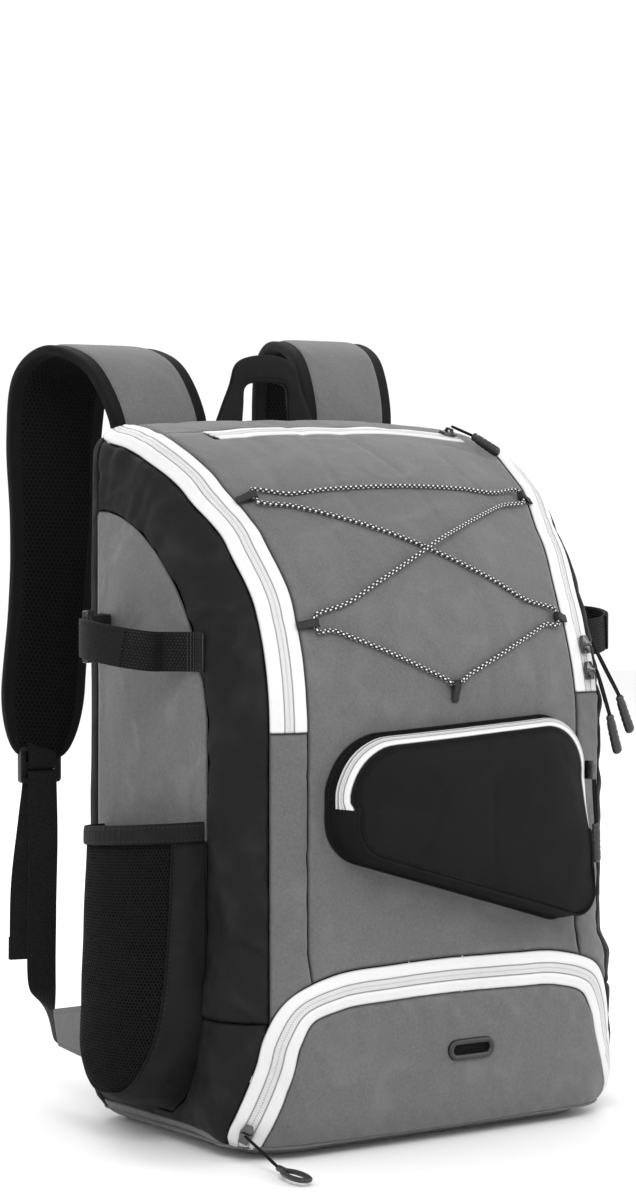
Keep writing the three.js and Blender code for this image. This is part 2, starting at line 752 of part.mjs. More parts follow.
// The pocket's outline with its edges moved in: an arc at each corner and the points of the edge after it.
const pocketArcSteps = 4;
const pocketEdgeSteps = 4;
function pocketRuns(inset) {
  const count = pocketCorners.length;
  const flat = pocketCorners.map(({ x, z }) => new THREE.Vector2(x, z));
  const arcs = pocketCorners.map(({ radius }, i) => {
    const here = flat[i];
    const toBefore = flat[(i + count - 1) % count].clone().sub(here).normalize();
    const toAfter = flat[(i + 1) % count].clone().sub(here).normalize();
    const half = Math.acos(toBefore.dot(toAfter)) / 2;
    const centre = toBefore.clone().add(toAfter).normalize().multiplyScalar(radius / Math.sin(half)).add(here);
    const start = new THREE.Vector2(-toBefore.y, toBefore.x).angle();
    const sweep = Math.PI - 2 * half;
    return steps(pocketArcSteps).map((share) => new THREE.Vector2(
      centre.x + (radius - inset) * Math.cos(start + share * sweep),
      centre.y + (radius - inset) * Math.sin(start + share * sweep),
    ));
  });
  return arcs.map((arc, i) => ({
    arc,
    edge: steps(pocketEdgeSteps).slice(1, pocketEdgeSteps).map((share) => (
      arc[pocketArcSteps].clone().lerp(arcs[(i + 1) % count][0], share))),
  }));
}
const pocketOutline = (inset) => pocketRuns(inset).flatMap(({ arc, edge }) => [...arc, ...edge]);

const pocketRing = (inset, height) => pocketOutline(inset).map((point) => skin(point.y, point.x, height));
const pocketRounding = 9;
const pocketLean = 3;
const pocketShoulder = pocketDepth - pocketRounding;
const pocketWallInset = (height) => (height / pocketShoulder) * pocketLean;
const pocketRings = (shrink, foot) => [
  pocketRing(shrink + pocketWallInset(foot), foot),
  pocketRing(shrink + pocketLean, pocketShoulder - shrink * 0.5),
  pocketRing(shrink + pocketLean + pocketRounding * 0.35, pocketDepth - pocketRounding * 0.3 - shrink),
  pocketRing(shrink + pocketLean + pocketRounding, pocketDepth - shrink),
];
add('front_pocket', cutSolid(
  ringLoft(pocketRings(0, pocketSeat)),
  ringLoft(pocketRings(wall, -wall)),
), blackFabric);

// The zip lies on the pocket's wall, from low on its left over the top to its right side.
const pocketZipHeight = pocketDepth * 0.36;
const pocketZipLowLeft = 226;
const pocketZipLowRight = 246;
function pocketZipTrack(inset) {
  const [topLeft, , , topRight] = pocketRuns(inset);
  const points = [...topRight.arc, ...topRight.edge, ...topLeft.arc];
  const right = new THREE.Vector2(points[0].x, pocketZipLowRight);
  const left = new THREE.Vector2(points[points.length - 1].x, pocketZipLowLeft);
  return [right, ...points, left];
}
const pocketZipWall = (out) => steps(1).map((share) => {
  const height = pocketZipHeight + share * pocketZipWidth;
  return pocketZipTrack(pocketWallInset(height) - out).map((point) => skin(point.y, point.x, height));
});
add('front_pocket_zip', sheetSolid(
  pocketZipWall(fabricSeat + pocketZipThickness),
  pocketZipWall(fabricSeat + 0.15),
), whiteTape);

// Side pockets: a bellows of mesh in a frame of fabric under a hem

const pocketFootZ = lowerSeamBackZ + 1;
const pocketFrontY = (z) => {
  const seam = lowerSeamPoints;
  if (z >= seam[0].y) return seam[0].x;
  const next = seam.findIndex((point) => point.y <= z);
  if (next < 1) return seam[seam.length - 1].x;
  const [a, b] = [seam[next - 1], seam[next]];
  return mix(a.x, b.x, (z - a.y) / (b.y - a.y));
};
const pocketRearY = (z) => sidePocketBackY - 26 * clamp01(1 - (z - pocketFootZ) / 50) ** 2;
const pocketBellyAt = (z) => {
  const drop = clamp01((78 - z) / (78 - pocketFootZ));
  const belly = mix(sidePocketRimDepth, sidePocketDepth, clamp01((sidePocketRimZ - z) / sidePocketRimZ * 1.6));
  return mix(2, belly, Math.sqrt(1 - drop ** 3));
};

// A point of the side pocket at an angle round it, 0 at the front root and pi at the back root,
// and a share of its height, 1 at the rim.
function sidePocketPoint(sign, angle, share, lift) {
  const level = mix(pocketFootZ, sidePocketRimZ, share);
  const [front, rear] = [pocketFrontY(level), pocketRearY(level)];
  const power = 2 / sidePocketFullness;
  const at = (turn) => {
    const c = Math.cos(turn);
    const y = mix(front, rear, 0.5 - 0.5 * Math.sign(c) * Math.abs(c) ** power);
    const x = pocketBellyAt(level) * Math.max(Math.sin(turn), 0) ** power;
    return new THREE.Vector2(x, y);
  };
  const here = at(angle);
  const reach = 0.02;
  const along = at(Math.min(angle + reach, Math.PI)).sub(at(Math.max(angle - reach, 0))).normalize();
  const rimDrop = sidePocketRimDrop * share * (here.y - front) / (rear - front);
  return new THREE.Vector3(
    sign * (bodyHalfWidth + fabricSeat + sidePocketWall + here.x + lift * along.y),
    here.y - lift * along.x,
    level - rimDrop,
  );
}

function sidePocketSheet(sign, grid) {
  const lay = (lift) => grid.map((row) => row.map(({ angle, share }) => (
    sidePocketPoint(sign, angle * Math.PI, share, lift))));
  return sheetSolid(lay(0), lay(-sidePocketWall));
}

// The frame's inner edge, where the mesh starts, and its outer edge on the bag, from the front
// rim down, along the foot and up the back: angles as shares of pi, heights as shares of the rim's.
const hemShare = 1 - sidePocketHem / (sidePocketRimZ - pocketFootZ);
const meshGap = 0.003;
const pocketFrameRows = [
  { meshAngle: 0.17, meshUp: 1, rootAngle: 0, rootUp: 1 },
  { meshAngle: 0.175, meshUp: 0.75, rootAngle: 0, rootUp: 0.78 },
  { meshAngle: 0.19, meshUp: 0.5, rootAngle: 0, rootUp: 0.55 },
  { meshAngle: 0.23, meshUp: 0.27, rootAngle: 0, rootUp: 0.36 },
  { meshAngle: 0.28, meshUp: 0.15, rootAngle: 0, rootUp: 0.2 },
  { meshAngle: 0.36, meshUp: 0.09, rootAngle: 0.05, rootUp: 0.07 },
  { meshAngle: 0.46, meshUp: 0.075, rootAngle: 0.34, rootUp: 0 },
  { meshAngle: 0.6, meshUp: 0.075, rootAngle: 0.66, rootUp: 0 },
  { meshAngle: 0.72, meshUp: 0.09, rootAngle: 0.95, rootUp: 0.07 },
  { meshAngle: 0.79, meshUp: 0.17, rootAngle: 1, rootUp: 0.2 },
  { meshAngle: 0.82, meshUp: 0.27, rootAngle: 1, rootUp: 0.36 },
  { meshAngle: 0.84, meshUp: 0.5, rootAngle: 1, rootUp: 0.55 },
  { meshAngle: 0.85, meshUp: 0.75, rootAngle: 1, rootUp: 0.78 },
  { meshAngle: 0.85, meshUp: 1, rootAngle: 1, rootUp: 1 },
];

for (const { name, sign } of sides) {
  const frameGrid = pocketFrameRows.map((row) => steps(3).map((share) => ({
    angle: mix(row.meshAngle, row.rootAngle, share),
    share: mix(row.meshUp, row.rootUp, share) * (hemShare - meshGap),
  })));
  add(`pocket_frame_${name}`, sidePocketSheet(sign, frameGrid), blackFabric);

  // The mesh runs between the frame's two inner edges, paired from the rim to the foot.
  const pairs = pocketFrameRows.length / 2;
  const meshRows = pocketFrameRows.slice(0, pairs).map((front, i) => {
    const back = pocketFrameRows[pocketFrameRows.length - 1 - i];
    return steps(7).map((share) => ({
      angle: mix(front.meshAngle + meshGap, back.meshAngle - meshGap, share),
      share: (mix(front.meshUp, back.meshUp, share) + meshGap) * (hemShare - meshGap),
    }));
  });
  meshRows[0].forEach((place) => { place.share = hemShare - meshGap; });
  add(`pocket_mesh_${name}`, sidePocketSheet(sign, meshRows), blackMesh);

  const hemGrid = [hemShare, 1].map((share) => (
    steps(14).map((angle) => ({ angle, share }))
  ));
  add(`pocket_hem_${name}`, sidePocketSheet(sign, hemGrid), blackFabric);

  // Strap loop above the pocket: from the front seam in a bow to a ring on a short tab
  const loopZ = loopStrapZ;
  const x = (distance) => sign * (bodyHalfWidth + distance);
  const lead = fabricSeat + loopStrapThickness / 2;
  const seamY = frontY + bandDepth + 1;
  const bowFrom = -115;
  const bowTo = 48;
  const bow = steps(8).map((share) => {
    const angle = THREE.MathUtils.degToRad(mix(bowFrom, bowTo, share));
    return new THREE.Vector3(
      x(loopBowStandOff + loopBowRadius * Math.cos(angle)),
      loopBowY + loopBowRadius * Math.sin(angle),
      loopZ + loopRise * THREE.MathUtils.smoothstep(share, 0, 0.9),
    );
  });
  const bowPoints = [new THREE.Vector3(x(lead), seamY, loopZ), new THREE.Vector3(x(lead + 1), seamY + 12, loopZ), ...bow];
  const upright = () => new THREE.Vector3(0, 0, 1);
  add(`side_strap_${name}`, band(bowPoints, {
    width: () => loopStrapWidth,
    thickness: () => loopStrapThickness,
    wide: upright,
    stations: 18,
  }), blackWebbing);

  const bowEnd = bow[bow.length - 1];
  const tabY = bowEnd.y + 42;
  const tabRoot = new THREE.Vector3(x(lead), tabY, loopZ + loopRise);
  const heading = tabRoot.clone().sub(bowEnd).setZ(0).normalize();
  const ringStart = bowEnd.clone().addScaledVector(heading, seamGap);
  const ringOutline = roundedRect(loopRingLength / 2, -loopRingHeight / 2, loopRingHeight / 2, 2.5);
  const slot = roundedRect(
    loopRingLength / 2 - loopRingBar, -loopRingHeight / 2 + loopRingBar, loopRingHeight / 2 - loopRingBar, 1,
  );
  ringOutline.holes.push(slot);
  const ring = new THREE.ExtrudeGeometry(ringOutline, { depth: loopRingBar, bevelEnabled: false, curveSegments: 2 });
  ring.translate(0, 0, -loopRingBar / 2);
  const ringNormal = new THREE.Vector3().crossVectors(heading, upright());
  ring.applyMatrix4(new THREE.Matrix4().makeBasis(heading, upright(), ringNormal));
  const ringCentre = ringStart.clone().addScaledVector(heading, loopRingLength / 2 + 0.3);
  ring.translate(ringCentre.x, ringCentre.y, ringCentre.z);
  add(`side_ring_${name}`, ring, blackPlastic);

  const tabStart = ringCentre.clone().addScaledVector(heading, loopRingLength / 2 + 0.5);
  add(`side_strap_tab_${name}`, band([
    tabStart,
    tabStart.clone().lerp(tabRoot, 0.6),
    tabRoot.clone().setX(x(lead + 2)),
    new THREE.Vector3(x(lead + 0.1), tabY + 9, tabRoot.z),
    new THREE.Vector3(x(lead), tabY + 18, tabRoot.z),
  ], {
    width: () => loopStrapWidth,
    thickness: () => loopStrapThickness,
    wide: upright,
    stations: 8,
  }), blackWebbing);
}

// Shoulder straps: out to the side as a share of half the width, behind as a share of the reach,
// up as a share of the ridge's height, wide in millimetres

const strapRoute = [
  { out: 0.5, behind: 0, up: 0.884, wide: 76 },
  { out: 0.5, behind: 0, up: 0.944, wide: 77 },
  { out: 0.51, behind: 0.03, up: 1.014, wide: 78 },
  { out: 0.545, behind: 0.2, up: 1.083, wide: 78 },
  { out: 0.594, behind: 0.46, up: 1.105, wide: 78 },
  { out: 0.64, behind: 0.73, up: 1.066, wide: 76 },
  { out: 0.665, behind: 0.88, up: 0.984, wide: 75 },
  { out: 0.685, behind: 0.95, up: 0.863, wide: 73 },
  { out: 0.71, behind: 0.97, up: 0.743, wide: 71 },
  { out: 0.745, behind: 0.96, up: 0.622, wide: 71 },
  { out: 0.762, behind: 0.94, up: 0.52, wide: 60 },
];
const strapSeatY = backPanelY + fabricSeat + strapThickness / 2;
const strapEndRounding = 0.05;
const strapEndClear = 1;

// Where the webbing leaves the strap's end and where its tab is sewn to the bag
const tabTopInset = 23;
const tabTopBehind = 60;
const tabRootInset = 14;
const tailEndInset = 37;
const tailEndBehind = 133;
const tabTop = new THREE.Vector3(bodyHalfWidth - tabTopInset, backPanelY + tabTopBehind, 52);
const tabRootX = bodyHalfWidth - tabRootInset;
const tabRootLowZ = 34;
const tabRootHighZ = 80;
const tailEnd = new THREE.Vector3(bodyHalfWidth - tailEndInset, backPanelY + tailEndBehind, 93);

for (const { name, sign } of sides) {
  const place = ({ out, behind, up }) => new THREE.Vector3(
    sign * out * bodyHalfWidth,
    strapSeatY + behind * strapReach,
    up * ridgeZ,
  );
  const points = strapRoute.map(place);
  const widths = strapRoute.map((row) => row.wide);
  const widthAt = (share) => {
    const position = share * (widths.length - 1);
    const i = Math.min(Math.floor(position), widths.length - 2);
    const toEnd = clamp01((1 - share) / strapEndRounding);
    return mix(widths[i], widths[i + 1], position - i) * (0.55 + 0.45 * Math.sqrt(1 - (1 - toEnd) ** 2));
  };
  add(`shoulder_strap_${name}`, band(points, {
    width: widthAt,
    thickness: (share) => strapThickness * (0.45 + 0.55 * clamp01(Math.min(share, 1 - share) * 20)),
    wide: (share) => new THREE.Vector3(1, sign * 0.12 * share, 0),
    stations: 20,
    round: true,
  }), greyFabric);

  // Adjuster: a plate with two slots below the strap's end
  const strapEnd = points[points.length - 1];
  const plateZ = strapEnd.z - strapEndClear - adjusterHeight / 2;
  const plate = roundedRect(adjusterWidth / 2, -adjusterHeight / 2, adjusterHeight / 2, 3);
  const slotHeight = (adjusterHeight - 3 * adjusterBar) / 2 + 0.4;
  const slotHalf = webbingWidth / 2 + 0.7;
  for (const level of [-1, 1]) {
    const middle = level * (adjusterBar / 2 + slotHeight / 2 - 0.2);
    plate.holes.push(roundedRect(slotHalf, middle - slotHeight / 2, middle + slotHeight / 2, 0.8));
  }
  add(`strap_adjuster_${name}`, standUp(
    plate, adjusterThickness, strapEnd.x, strapEnd.y + adjusterThickness / 2, plateZ, 2,
  ), blackPlastic);

  // Webbing: up from the tab, through the lower slot round the bottom bar, and down as the tail
  const slotZ = plateZ - (adjusterBar / 2 + slotHeight / 2 - 0.2);
  const barZ = plateZ - adjusterHeight / 2;
  const clear = adjusterThickness / 2 + webbingThickness / 2 + 1;
  const at = (dy, z, dx = 0) => new THREE.Vector3(strapEnd.x + sign * dx, strapEnd.y + dy, z);
  const webStart = new THREE.Vector3(sign * tabTop.x, tabTop.y, tabTop.z);
  const route = [
    webStart,
    new THREE.Vector3(sign * (tabTop.x - 4), tabTop.y + 13, tabTop.z + 4),
    new THREE.Vector3(sign * (tabTop.x - 8), tabTop.y + 34, tabTop.z + 22),
    at(-clear - 4, 130, 3),
    at(-clear - 3, 190, 1),
    at(-clear, barZ),
    at(-clear, barZ + adjusterBar),
    at(1 - clear, slotZ - 0.3),
    at(0, slotZ + 1),
    at(clear - 1, slotZ - 0.3),
    at(clear, barZ + adjusterBar),
    at(clear, barZ),
    at(clear + 7, barZ - 30),
    at(clear + 18, 150),
    new THREE.Vector3(sign * tailEnd.x, tailEnd.y, tailEnd.z),
  ];
  add(`strap_webbing_${name}`, band(route, {
    width: () => webbingWidth,
    thickness: () => webbingThickness,
    wide: () => new THREE.Vector3(1, 0, 0),
    stations: 42,
  }), blackWebbing);

  // Tab: sewn to the back corner of the bag, narrowing to the webbing
  const rootPast = tabRootX - (bodyHalfWidth - rearCorner);
  const rootY = backY - rearCorner + Math.sqrt(rearCorner ** 2 - rootPast ** 2);
  const out = new THREE.Vector3(rootPast / rearCorner, (rootY - ridgeY) / rearCorner, 0);
  const root = new THREE.Vector3(tabRootX, rootY, 0).addScaledVector(out, fabricSeat + tabThickness / 3);
  const tip = tabTop.clone().add(new THREE.Vector3(2.4, -7, -1.4));
  const tabRing = (centre, low, high, turn) => [[-1, low], [1, low], [1, high], [-1, high]].map(([u, z]) => (
    new THREE.Vector3(
      sign * (centre.x + u * tabThickness / 2 * turn.x),
      centre.y + u * tabThickness / 2 * turn.y,
      z,
    )));
  add(`strap_tab_${name}`, ringLoft([
    tabRing(root, tabRootLowZ, tabRootHighZ, new THREE.Vector2(1, 0.25)),
    tabRing(tip, tip.z - webbingWidth * 0.32, tip.z + webbingWidth * 0.32, new THREE.Vector2(1, 0.25)),
  ]), greyFabric);
}

// Haul loop between the straps

const haulBottomZ = backPanelTopZ + 1;
const haulTopZ = haulBottomZ + haulHeight;
const haulShape = new THREE.Shape();
const haulLeg = (haulWidth - haulHoleWidth) / 2;
haulShape.moveTo(-haulWidth / 2, haulBottomZ);
haulShape.lineTo(-haulTopWidth / 2 - 4, haulTopZ - 22);
haulShape.quadraticCurveTo(-haulTopWidth / 2, haulTopZ - 3, -haulTopWidth / 2 + 12, haulTopZ);
haulShape.lineTo(haulTopWidth / 2 - 12, haulTopZ);
haulShape.quadraticCurveTo(haulTopWidth / 2, haulTopZ - 3, haulTopWidth / 2 + 4, haulTopZ - 22);
haulShape.lineTo(haulWidth / 2, haulBottomZ);
haulShape.lineTo(haulWidth / 2 - haulLeg * 0.75, haulBottomZ);
haulShape.lineTo(haulHoleWidth / 2, haulBottomZ + haulHoleHeight);
haulShape.quadraticCurveTo(haulHoleWidth / 2 - 1, haulBottomZ + haulHoleHeight + 18, 0, haulBottomZ + haulHoleHeight + 19);
haulShape.quadraticCurveTo(-haulHoleWidth / 2 + 1, haulBottomZ + haulHoleHeight + 18, -haulHoleWidth / 2, haulBottomZ + haulHoleHeight);
haulShape.lineTo(-haulWidth / 2 + haulLeg * 0.75, haulBottomZ);
haulShape.closePath();
add('haul_loop', standUp(haulShape, haulThickness, 0, backY + haulThickness + 1, 0), blackWebbing);

// Lacing: an elastic cord through five small loops of webbing

const cordRadius = cordDiameter / 2;
const cordTopV = shoulderV(cordTopZ);
const cordMiddleV = shoulderV(cordMiddleZ);
const cordBottomV = pocketCorners[3].z + 9;
const anchorInset = cordLoopReach - 3;
const anchors = {
  bottom: { v: cordBottomV + anchorInset, q: 0, edge: { v: cordBottomV, q: 0 } },
  middle_left: { v: cordMiddleV, q: -1, edge: { v: cordMiddleV, q: -1 } },
  middle_right: { v: cordMiddleV, q: 1, edge: { v: cordMiddleV, q: 1 } },
  top_left: { v: cordTopV, q: -1, edge: { v: cordTopV, q: -1 } },
  top_right: { v: cordTopV, q: 1, edge: { v: cordTopV, q: 1 } },
};
for (const anchor of Object.values(anchors)) {
  if (anchor.q === 0) continue;
  const half = flatHalf(anchor.v) - seamGap;
  anchor.edge.q = anchor.q * half;
  anchor.q *= half - anchorInset;
}

// Each loop is a strip folded round the cord, in shares of its reach along the panel and in height.
const foldHeight = 2 * cordLoopThickness + cordDiameter + 1.8;
function cordLoop({ v, q, edge }) {
  const inward = new THREE.Vector2(q - edge.q, v - edge.v).normalize();
  const sideways = new THREE.Vector2(-inward.y, inward.x);
  const outline = (inset) => {
    const radius = foldHeight / 2 - inset;
    const centre = cordLoopReach - foldHeight / 2;
    const bend = steps(6).map((share) => {
      const angle = -quarter + share * 2 * quarter;
      return { reach: centre + radius * Math.cos(angle), height: foldHeight / 2 + radius * Math.sin(angle) };
    });
    return [{ reach: 0.4, height: inset }, ...bend, { reach: 0.4, height: foldHeight - inset }];
  };
  const lay = (inset) => outline(inset).map(({ reach, height }) => [-1, 1].map((u) => {
    const place = new THREE.Vector2(edge.q, edge.v)
      .addScaledVector(inward, reach)
      .addScaledVector(sideways, u * cordLoopWidth / 2);
    return skin(place.y, place.x, fabricSeat + height);
  }));
  return sheetSolid(lay(0), lay(cordLoopThickness));
}
for (const [name, anchor] of Object.entries(anchors)) add(`cord_loop_${name}`, cordLoop(anchor), greyFabric);

const cordRoute = ['bottom', 'middle_left', 'top_right', 'top_left', 'middle_right'].map((name) => anchors[name]);
const cordAtLoop = fabricSeat + foldHeight / 2;
const cordOnPanel = fabricSeat + cordRadius + 0.3;
const cordLoopExit = cordLoopWidth * 0.5 + cordRadius;
const cordCrossing = 4;
const cordPoints = cordRoute.flatMap((anchor, i) => {
  const before = cordRoute[(i + cordRoute.length - 1) % cordRoute.length];
  const after = cordRoute[(i + 1) % cordRoute.length];
  const here = new THREE.Vector2(anchor.q, anchor.v);
  const outTo = new THREE.Vector2(after.q, after.v).sub(here);
  const inFrom = new THREE.Vector2(before.q, before.v).sub(here);
  const inward = new THREE.Vector2(anchor.q - anchor.edge.q, anchor.v - anchor.edge.v).normalize();
  const sideways = new THREE.Vector2(-inward.y, inward.x);
  const [comes, goes] = [inFrom.dot(sideways), outTo.dot(sideways)];
  const entrySide = Math.abs(comes) > Math.abs(goes) ? Math.sign(comes) : -Math.sign(goes);
  const beside = (side, reach, pulled) => here.clone()
    .addScaledVector(sideways, side * reach * cordLoopExit)
    .addScaledVector(inward, pulled);
  const turn = [
    beside(entrySide, 1.3, 1.6),
    beside(entrySide, 0.8, 0.2),
    here,
    beside(-entrySide, 0.8, 0.2),
    beside(-entrySide, 1.3, 1.6),
  ].map((point) => ({ point, height: cordAtLoop }));
  const over = i === 1 ? cordCrossing : 0;
  const strand = [0.12, 0.24, 0.38, 0.47, 0.53, 0.62, 0.76, 0.88].map((share) => ({
    point: here.clone().addScaledVector(outTo, share),
    height: cordOnPanel + (share > 0.4 && share < 0.6 ? over : over * 0.4 * (1 - Math.abs(share - 0.5) * 2)),
  }));
  return [...turn, ...strand];
}).map(({ point, height }) => skin(point.y, point.x, height));

// A closed tube with a ring at each point. The rings turn as little as they can on the way round,
// and the turn that is left at the end is shared out over all of them.
function closedTube(points, radius, faceCount) {
  const count = points.length;
  const tangents = points.map((_, i) => (
    points[(i + 1) % count].clone().sub(points[(i + count - 1) % count]).normalize()));
  const carried = (normal, tangent) => normal.clone().addScaledVector(tangent, -normal.dot(tangent)).normalize();
  const normals = [carried(new THREE.Vector3(0, 0, 1), tangents[0])];
  for (let i = 1; i <= count; i += 1) normals.push(carried(normals[i - 1], tangents[i % count]));
  const binormal = new THREE.Vector3().crossVectors(tangents[0], normals[0]);
  const leftOver = Math.atan2(normals[count].dot(binormal), normals[count].dot(normals[0]));
  return ringLoft(points.map((centre, i) => {
    const across = new THREE.Vector3().crossVectors(tangents[i], normals[i]);
    return steps(faceCount).slice(0, faceCount).map((turn) => {
      const angle = turn * 2 * Math.PI - leftOver * i / count;
      return centre.clone()
        .addScaledVector(normals[i], radius * Math.cos(angle))
        .addScaledVector(across, radius * Math.sin(angle));
    });
  }), true);
}
add('shock_cord', closedTube(cordPoints, cordRadius, 6), blackWebbing);

// Zip sliders: a shield on the tape with a bridge for its pull

function skinFrame(v, q, lift) {
  const along = skin(v + 1, q, lift).sub(skin(v - 1, q, lift)).normalize();
  const across = skin(v, q + 1, lift).sub(skin(v, q - 1, lift)).normalize();
  const out = new THREE.Vector3().crossVectors(across, along).normalize();
  return { origin: skin(v, q, lift), along, across: new THREE.Vector3().crossVectors(along, out).normalize(), out };
}

// Turned by an angle on the tape, 0 with its nose up the bag.
function slider(v, q, angle, lift = fabricSeat) {
  const { origin, along, across, out } = skinFrame(v, q, lift);
  const shield = new THREE.Shape();
  const [halfLength, halfWidth] = [sliderLength / 2, sliderWidth / 2];
  shield.moveTo(-halfWidth * 0.75, -halfLength);
  shield.lineTo(halfWidth * 0.75, -halfLength);
  shield.lineTo(halfWidth, halfLength * 0.3);
  shield.lineTo(halfWidth * 0.5, halfLength);
  shield.lineTo(-halfWidth * 0.5, halfLength);
  shield.lineTo(-halfWidth, halfLength * 0.3);
  shield.closePath();
  const body = new THREE.ExtrudeGeometry(shield, { depth: sliderThickness, bevelEnabled: false });
  const arch = new THREE.Shape();
  const archHeight = 3.2;
  const archBar = 1.4;
  arch.moveTo(-halfLength * 0.7, 0);
  arch.lineTo(-halfLength * 0.45, archHeight);
  arch.lineTo(halfLength * 0.45, archHeight);
  arch.lineTo(halfLength * 0.7, 0);
  arch.lineTo(halfLength * 0.7 - archBar, 0);
  arch.lineTo(halfLength * 0.3, archHeight - archBar);
  arch.lineTo(-halfLength * 0.3, archHeight - archBar);
  arch.lineTo(-halfLength * 0.7 + archBar, 0);
  arch.closePath();
  const bridge = new THREE.ExtrudeGeometry(arch, { depth: 2.4, bevelEnabled: false });
  bridge.translate(0, 0, -1.2);
  bridge.rotateY(quarter);
  bridge.rotateX(quarter);
  bridge.rotateZ(quarter);
  const solid = bridgeUpright(body, bridge);
  solid.rotateZ(angle);
  solid.applyMatrix4(new THREE.Matrix4().makeBasis(across, along, out));
  return solid.translate(origin.x, origin.y, origin.z);
}

// Stands the bridge along the shield's length, sunk a little into its face.
function bridgeUpright(body, bridge) {
  bridge.computeBoundingBox();
  const sunk = 0.2;
  bridge.translate(0, 0, sliderThickness - sunk - bridge.boundingBox.min.z);
  return joinSolids(body, bridge);
}

// Pulls: a short cord into a moulded grip
function pull(start, gripTop, gripEnd) {
  const cord = tube([start, start.clone().lerp(gripTop, 0.55), gripTop.clone().lerp(gripEnd, 0.2)], pullCordDiameter, 4, 6);
  const grip = tube([gripTop, gripTop.clone().lerp(gripEnd, 0.5), gripEnd], pullDiameter, 2, 8);
  return joinSolids(cord, grip);
}

const tapeMiddle = tapeWidth / 2;
const sliderTop = fabricSeat + sliderThickness + 5;
const besideBag = (beyond, inFront, z, sign = 1) => (
  new THREE.Vector3(sign * (bodyHalfWidth + beyond), frontY + inFront, z));
const zipEnds = [
  {
    name: 'main_upper', v: tapeEndRight + 34, q: flatHalf(tapeEndRight + 34) + tapeMiddle, angle: 0,
    grip: [besideBag(-7, 2, 303), besideBag(6, 4, 276)],
  },
  {
    name: 'main_lower', v: tapeEndRight + 15, q: flatHalf(tapeEndRight + 15) + tapeMiddle, angle: 0,
    grip: [besideBag(-21, -4, 290), besideBag(-12, -3, 262)],
  },
  {
    name: 'top', v: topZipLowV + topZipWidth / 2, q: topZipRight - sliderLength / 2, angle: -quarter,
    grip: [skin(topZipLowV - 3, topZipRight + 6, 6), skin(topZipLowV - 30, topZipRight + 11, 6)],
  },
  {
    name: 'shoe', v: shoeHalf.getPointAt(0.055).y, q: -shoeHalf.getPointAt(0.055).x, angle: -0.4,
    grip: [besideBag(-4, -30, 5, -1), besideBag(0, -66, 4.2, -1)], top: sliderTop - 0.5,
  },
];
for (const { name, v, q, angle, grip, top = sliderTop } of zipEnds) {
  add(`slider_${name}`, slider(v, q, angle), blackMetal);
  const start = skin(v, q, top);
  add(`pull_${name}`, pull(start, ...grip), blackPlastic);
}

// The pocket's slider stands on the side of the pocket, and its pull hangs beside it.
const pocketSideX = pocketCorners[2].x - pocketWallInset(pocketZipHeight) + fabricSeat + pocketZipThickness;
const pocketSliderZ = pocketZipLowRight + sliderLength / 2;
const pocketSliderY = skin(pocketSliderZ, pocketSideX).y - pocketZipHeight - pocketZipWidth / 2;
const pocketSlider = new THREE.BoxGeometry(sliderThickness, sliderWidth, sliderLength);
pocketSlider.translate(pocketSideX + fabricSeat + 0.6 + sliderThickness / 2, pocketSliderY, pocketSliderZ);
add('slider_pocket', pocketSlider, blackMetal);
const pocketPullX = pocketSideX + fabricSeat + sliderThickness + pullCordDiameter / 2 + 1;
add('pull_pocket', pull(
  new THREE.Vector3(pocketPullX, pocketSliderY, pocketSliderZ),
  new THREE.Vector3(pocketPullX + 2.5, pocketSliderY, pocketSliderZ - 38),
  new THREE.Vector3(pocketPullX + 2.5, pocketSliderY, pocketSliderZ - 66),
), blackPlastic);

export default backpack;
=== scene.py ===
"""Looks for a packed backpack: sewn panels, zips, pockets, padded straps, elastic lacing and a studio.

Shapes are worked out in millimetres on the bag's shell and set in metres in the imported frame.
"""
import math
from bisect import bisect_left
from functools import cache

import bmesh
import bpy
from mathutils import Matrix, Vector, noise


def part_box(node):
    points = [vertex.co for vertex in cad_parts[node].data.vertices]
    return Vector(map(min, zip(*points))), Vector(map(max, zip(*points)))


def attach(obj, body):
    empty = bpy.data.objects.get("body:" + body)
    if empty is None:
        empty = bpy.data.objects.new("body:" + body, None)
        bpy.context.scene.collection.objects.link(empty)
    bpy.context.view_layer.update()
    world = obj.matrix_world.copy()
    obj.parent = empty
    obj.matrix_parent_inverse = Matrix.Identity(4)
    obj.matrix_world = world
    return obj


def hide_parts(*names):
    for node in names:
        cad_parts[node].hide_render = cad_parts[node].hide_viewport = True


bl_info = {
    "name": "Gym backpack",
    "version": (1, 0, 0),
    "blender": (4, 5, 0),
    "location": "3D View > Sidebar > Backpack",
    "description": "Dresses a packed backpack frame with sewn cloth, zips, straps and lacing",
    "category": "Object",
}

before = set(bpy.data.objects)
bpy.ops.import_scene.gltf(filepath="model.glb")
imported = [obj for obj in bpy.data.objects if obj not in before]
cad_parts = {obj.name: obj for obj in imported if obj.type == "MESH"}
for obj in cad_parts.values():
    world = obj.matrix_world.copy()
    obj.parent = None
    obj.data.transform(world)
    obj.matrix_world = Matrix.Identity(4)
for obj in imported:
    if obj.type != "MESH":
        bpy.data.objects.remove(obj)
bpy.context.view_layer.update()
MM = 0.001
QUARTER = math.pi / 2
UPRIGHT = Vector((0, 0, 1))
ACROSS = Vector((1, 0, 0))
SIDES = (("left", -1), ("right", 1))

# Shell of the bag, in millimetres
HALF_WIDTH = 165
FRONT_Y = -120
BACK_Y = 100
RIDGE_Z = 498
SHOULDER_Z = 290
SHOULDER_POWER = 1.87
FRONT_CORNER = 48
REAR_CORNER = 26
TOP_BACK_ROUND = 28
BOTTOM_ROUNDING = 32
HALF_GAP = 0.2
BASE_RISE = 9

